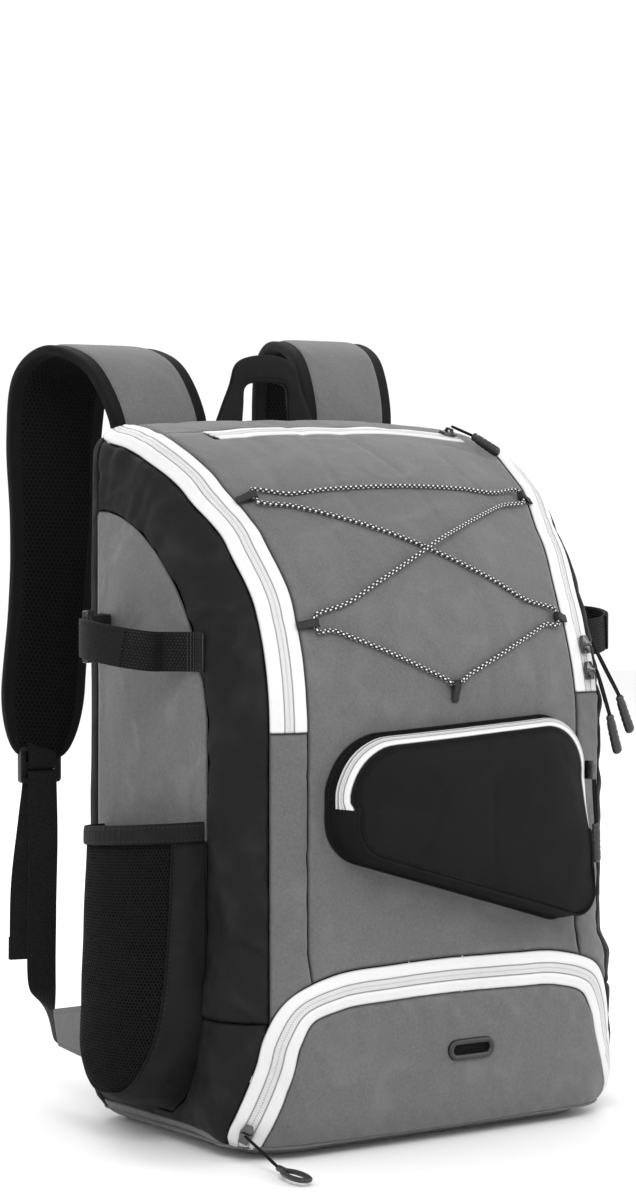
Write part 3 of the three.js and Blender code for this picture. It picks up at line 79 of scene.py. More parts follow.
# Cloth
CLOTH_WALL = 1.4
SEAT = 0.35
EDGE_TURN = 4.5
PIPING_RADIUS = 0.9

# Zips and seams
TAPE_WIDTH = 28
COIL_HALF = 3.4
TAPE_TURN = 40
TAPE_BEHIND_RIDGE = 22
TAPE_END_LEFT = 288
TAPE_END_RIGHT = 307
BAND_DEPTH = 52
BAND_DEPTH_TOP = 62
TOP_ZIP_WIDTH = 14
SLOT_DEPTH = 2.6
TOP_ZIP_TO_RIDGE = 46
TOP_ZIP_LEFT = -101
TOP_ZIP_RIGHT = 117
LOWER_SEAM_Z = 94
LOWER_SEAM_BACK_Z = 22
LOWER_SEAM_TURN_Y = -23
SHOE_TAPE_WIDTH = 24
SHOE_TOP_Z = 116
SHOE_PUFF = 7
SHOE_PUFF_TOP_Z = 140
SHOE_PUFF_EASE = 24
SHOE_PUFF_PAST = 60
SHOE_PUFF_FADE = 50
VENT_X = 13
VENT_Z = 64
VENT_HALF_LENGTH = 20
VENT_HALF_HEIGHT = 7.5

# Painted shade: the side panel takes the black cloth below this height, inside the side pockets behind their
# nets
POCKET_SHADE_TOP_Z = 213

# Padded back
BACK_PAD_HALF_WIDTH = 132
BACK_PAD_TOP_Z = 468
BACK_PAD_LOW_Z = 13
BACK_PAD_CORNER = 22
BACK_PAD_OUT = 10
GROOVES_Z = (178, 322)
GROOVE_DEPTH = 4.6
SPINE_X = 15
RIM_IN = 15


# Plain number helpers

def mix(a, b, share):
    return a + (b - a) * share


def clamp(x, low=0.0, high=1.0):
    return max(low, min(high, x))


def smooth(x, low=0.0, high=1.0):
    share = clamp((x - low) / (high - low))
    return share * share * (3 - 2 * share)


def rounding(share):
    """The height of a rounded edge at a share of the way in, from 0 to 1."""
    return math.sqrt(1 - (1 - clamp(share)) ** 2)


def value_at(value, share):
    """A value that may change along a route."""
    return value(share) if callable(value) else value


def between(rows, along):
    """A table's value, eased between the rows on either side of a share of the way."""
    for (low, a), (high, b) in zip(rows, rows[1:]):
        if along < high:
            return mix(a, b, smooth(along, low, high))
    return rows[-1][1]


def table_at(rows, share):
    """A row of numbers between a table's rows, by the share of the way through the table."""
    place = clamp(share) * (len(rows) - 1)
    i = min(int(place), len(rows) - 2)
    return [mix(a, b, place - i) for a, b in zip(rows[i], rows[i + 1])]


class Route:
    """A smooth line through points, measured along its length."""

    def __init__(self, points, spans=16, closed=False):
        points = [Vector(p).to_3d() for p in points]
        count = len(points)
        self.closed = closed
        self.line = []
        for i in range(count if closed else count - 1):
            if closed:
                a, b, c, d = (points[(i + k) % count] for k in (-1, 0, 1, 2))
            else:
                b, c = points[i], points[i + 1]
                a = points[i - 1] if i else 2 * b - c
                d = points[i + 2] if i + 2 < count else 2 * c - b
            t1, t2, t3 = (max((q - p).length, 1e-6) ** 0.5 for p, q in ((a, b), (b, c), (c, d)))
            start = ((b - a) / t1 - (c - a) / (t1 + t2) + (c - b) / t2) * t2
            end = ((c - b) / t2 - (d - b) / (t2 + t3) + (d - c) / t3) * t2
            for k in range(spans):
                t = k / spans
                self.line.append(
                    b * (2 * t ** 3 - 3 * t ** 2 + 1) + start * (t ** 3 - 2 * t ** 2 + t)
                    + c * (3 * t ** 2 - 2 * t ** 3) + end * (t ** 3 - t ** 2))
        self.line.append(points[0].copy() if closed else points[-1])
        self.marks = [0.0]
        for a, b in zip(self.line, self.line[1:]):
            self.marks.append(self.marks[-1] + (b - a).length)
        self.length = self.marks[-1]

    def at(self, share):
        along = clamp(share) * self.length
        i = min(max(bisect_left(self.marks, along), 1), len(self.line) - 1)
        low, high = self.marks[i - 1], self.marks[i]
        return self.line[i - 1].lerp(self.line[i], clamp((along - low) / max(high - low, 1e-9)))

    def heading(self, share):
        step = 0.5 / len(self.line)
        return (self.at(share + step) - self.at(share - step)).normalized()

    def evenly(self, count):
        """Points at even distances, with the last one for a closed route left out."""
        return [self.at(i / count) for i in range(count if self.closed else count + 1)]


# The shell: a length v up the front, over the top and down the back, and a length q across it

RIDGE_Y = BACK_Y - TOP_BACK_ROUND
CORNER_ROWS = ((0, 0), (0.28, -0.06), (0.45, 0.2), (0.62, 0.68), (0.8, 0.97), (1, 1))
BULGE_ROWS = ((0, 0.2), (0.34, 0.3), (0.7, 1), (1, 0.35), (1.1, 0))
FRONT_BULGE = 14
ARC_STEPS = 160


def shoulder_point(share):
    power = 2 / SHOULDER_POWER
    return Vector((
        RIDGE_Y - (RIDGE_Y - FRONT_Y) * max(math.cos(share * QUARTER), 0) ** power,
        SHOULDER_Z + (RIDGE_Z - SHOULDER_Z) * math.sin(share * QUARTER) ** power))


ARC = [shoulder_point(i / ARC_STEPS) for i in range(ARC_STEPS + 1)]
ARC_MARKS = [0.0]
for low_point, high_point in zip(ARC, ARC[1:]):
    ARC_MARKS.append(ARC_MARKS[-1] + (high_point - low_point).length)
RIDGE_V = SHOULDER_Z + ARC_MARKS[-1]
BACK_TOP_V = RIDGE_V + TOP_BACK_ROUND * QUARTER
BACK_TOP_Z = RIDGE_Z - TOP_BACK_ROUND


def back_v(z):
    return BACK_TOP_V + BACK_TOP_Z - z


def profile(v):
    """The shell seen from the side at length v: y, z, the rib's angle and its corner's radius."""
    if v <= SHOULDER_Z:
        return FRONT_Y, v, 0.0, FRONT_CORNER
    if v <= RIDGE_V:
        length = v - SHOULDER_Z
        i = min(max(bisect_left(ARC_MARKS, length), 1), ARC_STEPS)
        inside = clamp((length - ARC_MARKS[i - 1]) / (ARC_MARKS[i] - ARC_MARKS[i - 1]))
        point = ARC[i - 1].lerp(ARC[i], inside)
        share = length / (RIDGE_V - SHOULDER_Z)
        corner = mix(FRONT_CORNER, REAR_CORNER, between(CORNER_ROWS, share))
        return point.x, point.y, share * QUARTER, corner
    if v <= BACK_TOP_V:
        turn = (v - RIDGE_V) / TOP_BACK_ROUND
        return (RIDGE_Y + TOP_BACK_ROUND * math.sin(turn), BACK_TOP_Z + TOP_BACK_ROUND * math.cos(turn),
                QUARTER + turn, REAR_CORNER)
    return BACK_Y, BACK_TOP_Z + BACK_TOP_V - v, math.pi, REAR_CORNER


def shoulder_v(z):
    return SHOULDER_Z + ARC_MARKS[next(i for i, point in enumerate(ARC) if point.y >= z)]


def flat_half(v):
    return HALF_WIDTH - profile(v)[3]


def bottom_inset(z):
    if z >= BOTTOM_ROUNDING:
        return 0.0
    return BOTTOM_ROUNDING * (1 - rounding(max(z, 0) / BOTTOM_ROUNDING))


def puff_round(past):
    """The share of the shoe compartment's puff left at a length past the front corner's start."""
    return clamp(1 - (past - SHOE_PUFF_PAST) / SHOE_PUFF_FADE)


def skin(v, q, lift=0.0):
    """A point of the shell, lifted off it, in millimetres."""
    y, z, angle, corner = profile(v)
    past = abs(q) - (HALF_WIDTH - corner)
    turn = clamp(past / (corner * QUARTER)) * QUARTER
    x = abs(q) if past <= 0 else HALF_WIDTH - corner * (1 - math.sin(turn))
    out = lift - bottom_inset(z)
    if past <= 0:
        out += FRONT_BULGE * between(BULGE_ROWS, v / RIDGE_V) * (1 - (x / (HALF_WIDTH - corner)) ** 2)
    if 0 <= v < SHOE_PUFF_TOP_Z:
        out += SHOE_PUFF * clamp((SHOE_PUFF_TOP_Z - v) / SHOE_PUFF_EASE) * puff_round(past)
    beyond = max(0.0, past - corner * QUARTER)
    depth = corner * (1 - math.cos(turn)) + beyond - out * math.cos(turn)
    side = -1 if q < 0 else 1
    return Vector((
        side * (x + out * math.sin(turn)), y + depth * math.cos(angle), z - depth * math.sin(angle)))


def slack(v, q):
    """How far the stuffed cloth stands off the even shell: broad swells and finer creases."""
    folds = bpy.context.scene.backpack_cloth
    grounded = smooth(v, 4, 40)
    broad = noise.noise(Vector((q / 95, v / 120, 4.2)))
    fine = noise.noise(Vector((q / 34 + 7, v / 46, 1.7)))
    crease = 1 - abs(noise.noise(Vector((q / 60 + v / 210 + 3, v / 95 - q / 160, 8.4)))) * 2
    depth = 1.5 * broad + 0.5 * fine - 0.8 * clamp(crease - 0.78) / 0.22
    return grounded * depth * folds.fold_depth / MM


def cloth_skin(v, q, lift=0.0):
    return skin(v, q, lift + slack(v, q))


def ripples(depth):
    """Short folds across a narrow strip of cloth, as a dip along v and q."""
    def dip(v, q):
        fold = noise.noise(Vector((q / 52, v / 15 + q / 60, 3.1)))
        strength = 0.5 + noise.noise(Vector((q / 80, v / 70, 9.3)))
        return depth * fold * clamp(strength, 0.1, 1)
    return dip


# Meshes: a grid laid by a function, with cloth coordinates and the distance from its sewn edges

def laid(columns, rows, place, joined=False):
    """A grid laid by place(a, b), which gives a point, its cloth coordinates and its seam distance."""
    mesh = bmesh.new()
    cloth = mesh.loops.layers.uv.new("Cloth")
    seam = mesh.verts.layers.float.new("seam")
    bmesh.ops.create_grid(mesh, x_segments=columns, y_segments=rows, size=1)
    mesh.verts.index_update()
    coordinates = {}
    for vert in mesh.verts:
        point, u, v, distance = place((vert.co.x + 1) / 2, (vert.co.y + 1) / 2)
        vert.co = point * MM
        vert[seam] = distance
        coordinates[vert.index] = (u * MM, v * MM)
    for face in mesh.faces:
        for loop in face.loops:
            loop[cloth].uv = coordinates[loop.vert.index]
    if joined:
        bmesh.ops.remove_doubles(mesh, verts=mesh.verts, dist=2e-6)
    return mesh


def turned_out(mesh, centre=(0, 10, 230)):
    """Turns a sheet's faces away from a point inside the bag."""
    mesh.normal_update()
    middle = Vector(centre) * MM
    facing = sum(
        face.normal.dot(face.calc_center_median() - middle) * face.calc_area() for face in mesh.faces)
    if facing < 0:
        bmesh.ops.reverse_faces(mesh, faces=mesh.faces)
    return mesh


def closed_up(mesh):
    """Closes a tube's ends and turns its faces out."""
    ends = [edge for edge in mesh.edges if edge.is_boundary]
    if ends:
        bmesh.ops.holes_fill(mesh, edges=ends)
    bmesh.ops.recalc_face_normals(mesh, faces=mesh.faces)
    return mesh


def walled(made, wall):
    """Gives a sheet its thickness, inwards."""
    sheet = made.modifiers.new("Wall", "SOLIDIFY")
    sheet.thickness = wall * MM
    sheet.offset = -1


def softened(made):
    """Rounds a piece by one subdivision."""
    cage = made.modifiers.new("Soften", "SUBSURF")
    cage.levels = 1
    cage.render_levels = 1


def piece(name, mesh, finish, nodes=(), wall=0.0, soften=False):
    """A finished piece from a mesh, riding on the bag and standing for its solids."""
    data = bpy.data.meshes.new(name)
    mesh.to_mesh(data)
    mesh.free()
    made = bpy.data.objects.new(name, data)
    bpy.context.scene.collection.objects.link(made)
    for key in ([finish] if isinstance(finish, str) else finish):
        data.materials.append(finish_of(key))
    data.shade_smooth()
    if wall:
        walled(made, wall)
    if soften:
        softened(made)
    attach(made, "root")
    if nodes:
        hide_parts(*nodes)
    return made


def sewn_panel(name, columns, rows, place, finish, nodes, tuck=None, sewn="lrbt", pucker=0.3, dip=None):
    """A panel of the shell: place(a, b) gives v and q, its sewn edges turn in and pucker."""
    folds = bpy.context.scene.backpack_cloth
    tuck = folds.seam_tuck / MM if tuck is None else tuck
    widths, heights = {}, {}

    def span(a, b):
        if b not in widths:
            (v0, q0), (v1, q1) = place(0, b), place(1, b)
            widths[b] = math.hypot(v1 - v0, q1 - q0)
        if a not in heights:
            (v0, q0), (v1, q1) = place(a, 0), place(a, 1)
            heights[a] = math.hypot(v1 - v0, q1 - q0)
        return widths[b], heights[a]

    def point(a, b):
        v, q = place(a, b)
        width, height = span(a, b)
        reaches = {"l": a * width, "r": (1 - a) * width, "b": b * height, "t": (1 - b) * height}
        distance = min(reaches[side] for side in sewn)
        lift = -tuck * (1 - rounding(distance / EDGE_TURN))
        ripple = math.sin((v + q) / 2.6 + 3 * noise.noise(Vector((q / 25, v / 25, 0))))
        lift += pucker * math.exp(-distance / 8) * smooth(distance, 0.5, 3) * ripple
        if dip:
            lift += dip(v, q)
        return cloth_skin(v, q, lift), q, v, distance

    piece(name, turned_out(laid(columns, rows, point)), finish, nodes, wall=CLOTH_WALL)


def section_of(sides, power):
    """Points of a flattened round section, from its right edge round."""
    turns = [i / sides * 2 * math.pi for i in range(sides)]
    return [
        tuple(math.copysign(abs(x) ** power, x) for x in (math.cos(turn), math.sin(turn))) for turn in turns]


def strap_frame(route, share, wide):
    """The middle of a strap, its direction across and its face's direction."""
    tangent, wide = route.heading(share), value_at(wide, share)
    across = (wide - tangent * wide.dot(tangent)).normalized()
    return route.at(share), across, across.cross(tangent).normalized()


def band(route, width, thickness, wide, stations, sides=16):
    """A flat strap along a route as a closed mesh, with its cloth coordinates across and along."""
    section = section_of(sides, 0.3)

    def point(a, b):
        u, n = section[round(a * sides) % sides]
        centre, across, out = strap_frame(route, b, wide)
        half, thick = value_at(width, b) / 2, value_at(thickness, b) / 2
        place = centre + across * u * half + out * (n * thick)
        return place, u * half + (200 if n < 0 else 0), b * route.length, (1 - abs(u)) * half

    return closed_up(laid(sides, stations, point, joined=True))


def tube(points, radius, sides=10, closed=False, flat=1.0):
    """A round cord through points, its frame carried along so that it doesn't twist."""
    points = [Vector(p) for p in points]
    count = len(points)
    last = count if closed else count - 1
    tangents = []
    for i in range(count):
        before = points[(i - 1) % count] if closed or i else points[i]
        after = points[(i + 1) % count] if closed or i + 1 < count else points[i]
        tangents.append((after - before).normalized())
    start = Vector((0, 0, 1)) if abs(tangents[0].z) < 0.9 else Vector((1, 0, 0))
    normals = [(start - tangents[0] * start.dot(tangents[0])).normalized()]
    for i in range(1, last + 1):
        tangent = tangents[i % count]
        normals.append((normals[-1] - tangent * normals[-1].dot(tangent)).normalized())
    spare = 0.0
    if closed:
        binormal = tangents[0].cross(normals[0])
        spare = math.atan2(normals[last].dot(binormal), normals[last].dot(normals[0]))
    marks = [0.0]
    for i in range(1, last + 1):
        marks.append(marks[-1] + (points[i % count] - points[i - 1]).length)

    def point(a, b):
        i = round(b * last)
        angle = a * 2 * math.pi - spare * i / last
        across = tangents[i % count].cross(normals[i])
        r = value_at(radius, i / last)
        place = points[i % count] + normals[i] * r * math.cos(angle) + across * r * flat * math.sin(angle)
        return place, a * 2 * math.pi * r, marks[i], 9.0

    return closed_up(laid(sides, last, point, joined=True))


FLAT_ANGLE = math.radians(8)
SHARP_ANGLE = math.radians(32)


def copy_of(node, bevel):
    """A bevelled copy of a rigid solid."""
    mesh = bmesh.new()
    mesh.from_mesh(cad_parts[node].data)
    bmesh.ops.remove_doubles(mesh, verts=mesh.verts, dist=1e-5)
    bmesh.ops.dissolve_limit(mesh, angle_limit=FLAT_ANGLE, verts=mesh.verts, edges=mesh.edges)
    mesh.normal_update()
    sharp = [edge for edge in mesh.edges if edge.is_manifold and edge.calc_face_angle() > SHARP_ANGLE]
    bmesh.ops.bevel(
        mesh, geom=sharp, offset=bevel * MM, segments=2, profile=0.5, affect="EDGES", material=-1,
        clamp_overlap=True)
    return mesh


SWELL_FRAMES = 16
SWELL_SETTINGS = (
    ("quality", 4), ("mass", 0.25), ("tension_stiffness", 12), ("compression_stiffness", 12),
    ("bending_stiffness", 1.5), ("use_pressure", True), ("uniform_pressure_force", 4.0),
    ("vertex_group_mass", "Sewn"))


def swell(made, pinned, cap):
    """Blows a pad up with cloth simulation, holds the pinned points and caps how far the rest moves."""
    group = made.vertex_groups.new(name="Sewn")
    group.add(pinned, 1.0, "REPLACE")
    cloth = made.modifiers.new("Fill", "CLOTH")
    for setting, value in SWELL_SETTINGS:
        setattr(cloth.settings, setting, value)
    cloth.settings.effector_weights.gravity = 0
    scene = bpy.context.scene
    for step in range(1, SWELL_FRAMES + 1):
        scene.frame_set(step)
    blown = made.evaluated_get(bpy.context.evaluated_depsgraph_get()).data
    places = [vert.co.copy() for vert in blown.vertices]
    made.modifiers.remove(cloth)
    scene.frame_set(1)
    for vert, place in zip(made.data.vertices, places):
        move = place - vert.co
        if move.length > cap * MM:
            move = move.normalized() * cap * MM
        vert.co = vert.co + move
    made.data.update()


# Materials: shader maths written as expressions

class Wire:
    """A node's output that adds maths nodes when it is used in an expression."""

    def __init__(self, finish, socket):
        self.finish = finish
        self.socket = socket

    def maths(self, operation, *others):
        return self.finish.maths(operation, self, *others)

    def __add__(self, other):
        return self.maths("ADD", other)

    def __sub__(self, other):
        return self.maths("SUBTRACT", other)

    def __rsub__(self, other):
        return self.finish.maths("SUBTRACT", other, self)

    def __mul__(self, other):
        return self.maths("MULTIPLY", other)

    def __truediv__(self, other):
        return self.maths("DIVIDE", other)

    def __pow__(self, other):
        return self.maths("POWER", other)

    def __abs__(self):
        return self.maths("ABSOLUTE")

    def wave(self, length):
        """A sine from -1 to 1 with that wavelength."""
        return (self * (2 * math.pi / length)).maths("SINE")

    def fraction(self):
        return self.maths("FRACT")

    def combine(self, other, amount):
        """This vector moved by a share of another socket."""
        moved = self.finish.node("ShaderNodeVectorMath", {"operation": "SCALE"}, {0: other, "Scale": amount})
        return self.finish.node("ShaderNodeVectorMath", {"operation": "ADD"}, {0: self, 1: moved})

    def ease(self, low, high):
        """0 below low, 1 above high and smooth between them."""
        return self.finish.node("ShaderNodeMapRange", {"interpolation_type": "SMOOTHSTEP"}, {
            "Value": self, "From Min": low, "From Max": high})


class Finish:
    """A new material and a short way to write its nodes."""

    def __init__(self, name, sockets):
        self.material = bpy.data.materials.new(name)
        self.material.use_nodes = True
        self.tree = self.material.node_tree
        self.shader = self.tree.nodes["Principled BSDF"]
        for socket, value in sockets.items():
            self.shader.inputs[socket].default_value = value

    def node(self, kind, settings=None, inputs=None, output=0):
        node = self.tree.nodes.new(kind)
        for key, value in (settings or {}).items():
            setattr(node, key, value)
        for key, value in (inputs or {}).items():
            if isinstance(value, Wire):
                self.tree.links.new(value.socket, node.inputs[key])
            else:
                node.inputs[key].default_value = value
        return Wire(self, node.outputs[output])

    def maths(self, operation, *values):
        return self.node("ShaderNodeMath", {"operation": operation}, dict(enumerate(values)))

    def cloth(self):
        """The piece's cloth coordinates in millimetres, across and along."""
        uv = self.node("ShaderNodeUVMap", {"uv_map": "Cloth"})
        return [self.node("ShaderNodeSeparateXYZ", None, {0: uv}, axis) * 1000 for axis in (0, 1)]

    def place(self):
        return self.node("ShaderNodeTexCoord", None, None, 3)

    def seam(self):
        return self.node("ShaderNodeAttribute", {"attribute_name": "seam"}, None, 2)

    def noise(self, vector, scale, detail=3.0, roughness=0.55):
        return self.node("ShaderNodeTexNoise", None, {
            "Vector": vector, "Scale": scale, "Detail": detail, "Roughness": roughness})

    def blend(self, share, first, second):
        return self.node("ShaderNodeMix", {"data_type": "RGBA"}, {0: share, 6: first, 7: second}, 2)

    def surface(self, colour=None, roughness=None, height=None, depth=0.2, alpha=None):
        """Wires what varies into the shader. Height times depth is in millimetres."""
        for name, wire in (("Base Color", colour), ("Roughness", roughness), ("Alpha", alpha)):
            if isinstance(wire, Wire):
                self.tree.links.new(wire.socket, self.shader.inputs[name])
            elif wire is not None:
                self.shader.inputs[name].default_value = wire
        if height is not None:
            bump = self.node("ShaderNodeBump", None, {
                "Strength": 1.0, "Distance": depth * MM, "Height": height})
            self.tree.links.new(bump.socket, self.shader.inputs["Normal"])
        return self.material


def shade(colour, factor):
    return (*[clamp(c * factor) for c in colour[:3]], 1.0)


def woven(name, colour, grain=1.0, sheen=0.2, roughness=0.82, stitch=None, seam_shade=0.45, vary=0.1,
          shine=0.35, crease=0.0):
    """Sewn cloth: a plain weave with uneven yarn, a shaded seam, and if asked creases with a painted
    highlight along their ridges, and stitches.
    """
    looks = bpy.context.scene.backpack_cloth
    f = Finish(name, {"Roughness": roughness, "Sheen Weight": sheen, "Sheen Roughness": 0.45,
                      "Specular IOR Level": shine})
    u, v = f.cloth()
    spot = f.place()
    pitch = looks.weave_pitch / MM
    yarn = f.noise(spot, 900.0, 2.0)
    pebble = f.noise(spot, 420.0, 3.0, 0.6)
    broad = f.noise(spot, 9.0, 3.0)
    weave = u.wave(pitch) * v.wave(pitch)
    worn = f.noise(spot, 60.0, 4.0)
    distance = f.seam()
    tone = (yarn - 0.5) * 0.55 * grain + (pebble - 0.5) * 0.5 * grain
    tone = tone + (broad - 0.5) * vary * 2 + weave * 0.05
    base = f.blend((tone + 0.5).ease(0.1, 0.9), shade(colour, 0.78), shade(colour, 1.24))
    edge = 1 - distance.ease(0.0, 1.6)
    base = f.blend(edge * seam_shade * 1.6, base, shade(colour, 0.25))
    rub = (1 - abs(distance - 3.2).ease(0.0, 1.8)) * worn.ease(0.5, 0.75) * 0.22
    base = f.blend(rub, base, shade(colour, 1.7))
    height = weave * 0.35 + pebble * 1.1 * grain + yarn * 0.5
    if crease:
        bent = spot.combine(f.noise(spot, 7.0, 2.0), 0.06)
        fold = 1 - abs(f.noise(bent, 16.0, 2.0, 0.4) - 0.5) * 9
        ripple = f.noise(bent, 44.0, 3.0, 0.5)
        height = height + (fold.ease(0.0, 1.0) * 3.5 + ripple * 5.0) * crease
        # Painted highlight: the cloth is lighter along the ridges of its folds.
        painted_fold_highlight = fold.ease(0.1, 1.0) * ripple.ease(0.35, 0.7)
        base = f.blend(painted_fold_highlight * min(0.14 * crease, 0.5), base, shade(colour, 2.4))
    if stitch:
        row, thread = stitch
        run = ((u + v) / (looks.stitch_length / MM)).fraction()
        dash = (1 - abs(distance - row).ease(0.25, 0.55)) * abs(run - 0.5).ease(0.16, 0.1)
        groove = 1 - abs(distance - row).ease(0.3, 1.3)
        base = f.blend(dash, base, thread)
        height = height + dash * 2.2 - groove * 1.6
    rough = f.node("ShaderNodeMapRange", None, {
        "Value": pebble + worn * 0.4, "To Min": roughness - 0.1, "To Max": roughness + 0.12})
    return f.surface(base, rough, height, depth=0.16)


def tape(name, colour, middle, coil_half, shadow=0.5):
    """Zip tape: smooth bright flaps with a stitched coil along a line across it."""
    looks = bpy.context.scene.backpack_cloth
    f = Finish(name, {"Roughness": 0.5, "Sheen Weight": 0.1, "Specular IOR Level": 0.45})
    u, v = f.cloth()
    spot = f.place()
    pitch = looks.coil_pitch / MM
    off = u - middle
    inside = 1 - abs(off).ease(coil_half * 0.86, coil_half)
    lines = 1 - abs(abs(off) - coil_half).ease(0.2, 0.62)
    centre = 1 - abs(off).ease(0.15, 0.55)
    slant = (v + abs(off) * 0.9) / pitch
    gap = abs(slant.fraction() - 0.5).ease(0.27, 0.42) * inside
    weave = f.noise(spot, 700.0, 2.0)
    soil = f.noise(spot, 26.0, 4.0)
    base = f.blend((weave - 0.5) * 0.5 + soil.ease(0.35, 0.8) * 0.35, colour, shade(colour, 0.84))
    base = f.blend((gap * 0.24 + centre * 0.3 + lines * 0.9) * shadow * 1.6, base, shade(colour, 0.22))
    # Painted shade: a dark line along the tape's sewn edges, where the cloth beside it folds over.
    edge = 1 - f.seam().ease(0.0, 1.1)
    base = f.blend(edge * 0.75, base, shade(colour, 0.12))
    height = inside * 1.4 - gap * 1.2 - lines * 1.3 - centre * 0.8 + weave * 0.18
    return f.surface(base, 0.5, height, depth=0.3)


def ribbed(name, colour, rib=1.7, roughness=0.62, edge_rows=True, tint=0.3, rows=1.1, tacked=0.0):
    """Webbing: ribs across the strap in rows of yarn along it, a firmer edge and a tacked start."""
    f = Finish(name, {"Roughness": roughness, "Sheen Weight": 0.01, "Specular IOR Level": 0.13})
    u, v = f.cloth()
    spot = f.place()
    yarn = f.noise(spot, 800.0, 2.0)
    broad = f.noise(spot, 30.0)
    across = abs(u.wave(rows * 2))
    brick = ((u / rows).maths("FLOOR") * 0.5 + v / rib).fraction()
    bump = 1 - abs(brick - 0.5) * 2
    height = bump * 0.8 + across * 0.6 + yarn * 0.3
    tone = bump * across * 0.5 + (yarn - 0.5) * 0.6 + (broad - 0.5) * 0.4
    base = f.blend(tone.ease(0.0, 0.9), shade(colour, 1 - 2 * tint), shade(colour, 1 + 5 * tint))
    if tacked:
        start = 1 - v.ease(tacked - 2, tacked)
        stitch = abs((v / 2.6).fraction() - 0.5) * 2
        base = f.blend(start * stitch.ease(0.6, 0.95), base, shade(colour, 3.6))
        base = f.blend(start * (1 - stitch.ease(0.1, 0.5)), base, shade(colour, 0.3))
        height = height + start * stitch * 1.2
    if edge_rows:
        edge = 1 - f.seam().ease(0.4, 1.6)
        base = f.blend(edge * 0.5, base, shade(colour, 0.5))
    return f.surface(base, roughness, height, depth=0.5)


def air_mesh(name, colour, pitch=4.2, roughness=0.88, hole=0.12, lift=1.0, see=0.0):
    """Open mesh: rows of round holes, every second row moved by half a step."""
    f = Finish(name, {"Roughness": roughness, "Sheen Weight": 0.0, "Specular IOR Level": 0.08})
    u, v = f.cloth()
    spot = f.place()
    row = v / (pitch * 0.86)
    odd = row.maths("FLOOR").maths("PINGPONG", 1.0)
    du = abs((u / pitch + odd * 0.5).fraction() - 0.5) * pitch
    dv = abs(row.fraction() - 0.5) * pitch * 0.86
    spread = (du * du + dv * dv) ** 0.5
    cell = 1 - spread.ease(pitch * 0.18, pitch * 0.4)
    yarn = f.noise(spot, 700.0, 2.0)
    broad = f.noise(spot, 20.0)
    base = f.blend(cell * 0.85, shade(colour, 1.25), shade(colour, hole))
    base = f.blend((yarn - 0.5) * 0.9 + (broad - 0.5) * 0.5, base, shade(colour, 2.2))
    edge = 1 - f.seam().ease(0.0, 2.0)
    base = f.blend(edge * 0.6, base, shade(colour, 0.3))
    height = (1 - cell) * 2.0 + yarn * 0.3
    return f.surface(base, roughness, height, depth=0.3 * lift, alpha=1 - cell * see if see else None)


def moulded(name, colour, roughness=0.42, grain=0.5, metallic=0.0):
    """Moulded plastic or painted metal with a fine grain and rubbed spots."""
    f = Finish(name, {"Metallic": metallic, "Coat Weight": 0.15, "Coat Roughness": 0.35})
    spot = f.place()
    grains = f.noise(spot, 1500.0, 2.0)
    rub = f.noise(spot, 160.0, 4.0)
    base = f.blend(rub.ease(0.45, 0.8) * 0.5, colour, shade(colour, 1.8))
    rough = f.node("ShaderNodeMapRange", None, {
        "Value": rub, "To Min": roughness - 0.1, "To Max": roughness + 0.15})
    return f.surface(base, rough, grains * grain + rub * 0.6, depth=0.08)


def braided(name, colour, fleck, around=9.4):
    """Elastic cord: a dark braid with pale flecks in a staggered pattern."""
    f = Finish(name, {"Roughness": 0.6, "Sheen Weight": 0.1})
    u, v = f.cloth()
    spot = f.place()
    rows = u / around * 5
    odd = (rows.maths("FLOOR") * 0.5).fraction()
    across = (rows.fraction() - 0.5) * (around / 5)
    along = ((v / 4.2 + odd).fraction() - 0.5) * 4.2
    reach = (across * across * 1.6 + along * along) ** 0.5
    spotty = 1 - reach.ease(0.66, 0.95)
    cross = 1 - reach.ease(0.2, 1.9)
    yarn = f.noise(spot, 1200.0, 2.0)
    base = f.blend(spotty * 0.92, colour, fleck)
    base = f.blend((yarn - 0.5) * 0.4, base, shade(colour, 0.4))
    return f.surface(base, 0.6, cross * 1.6 + yarn * 0.3, depth=0.35)


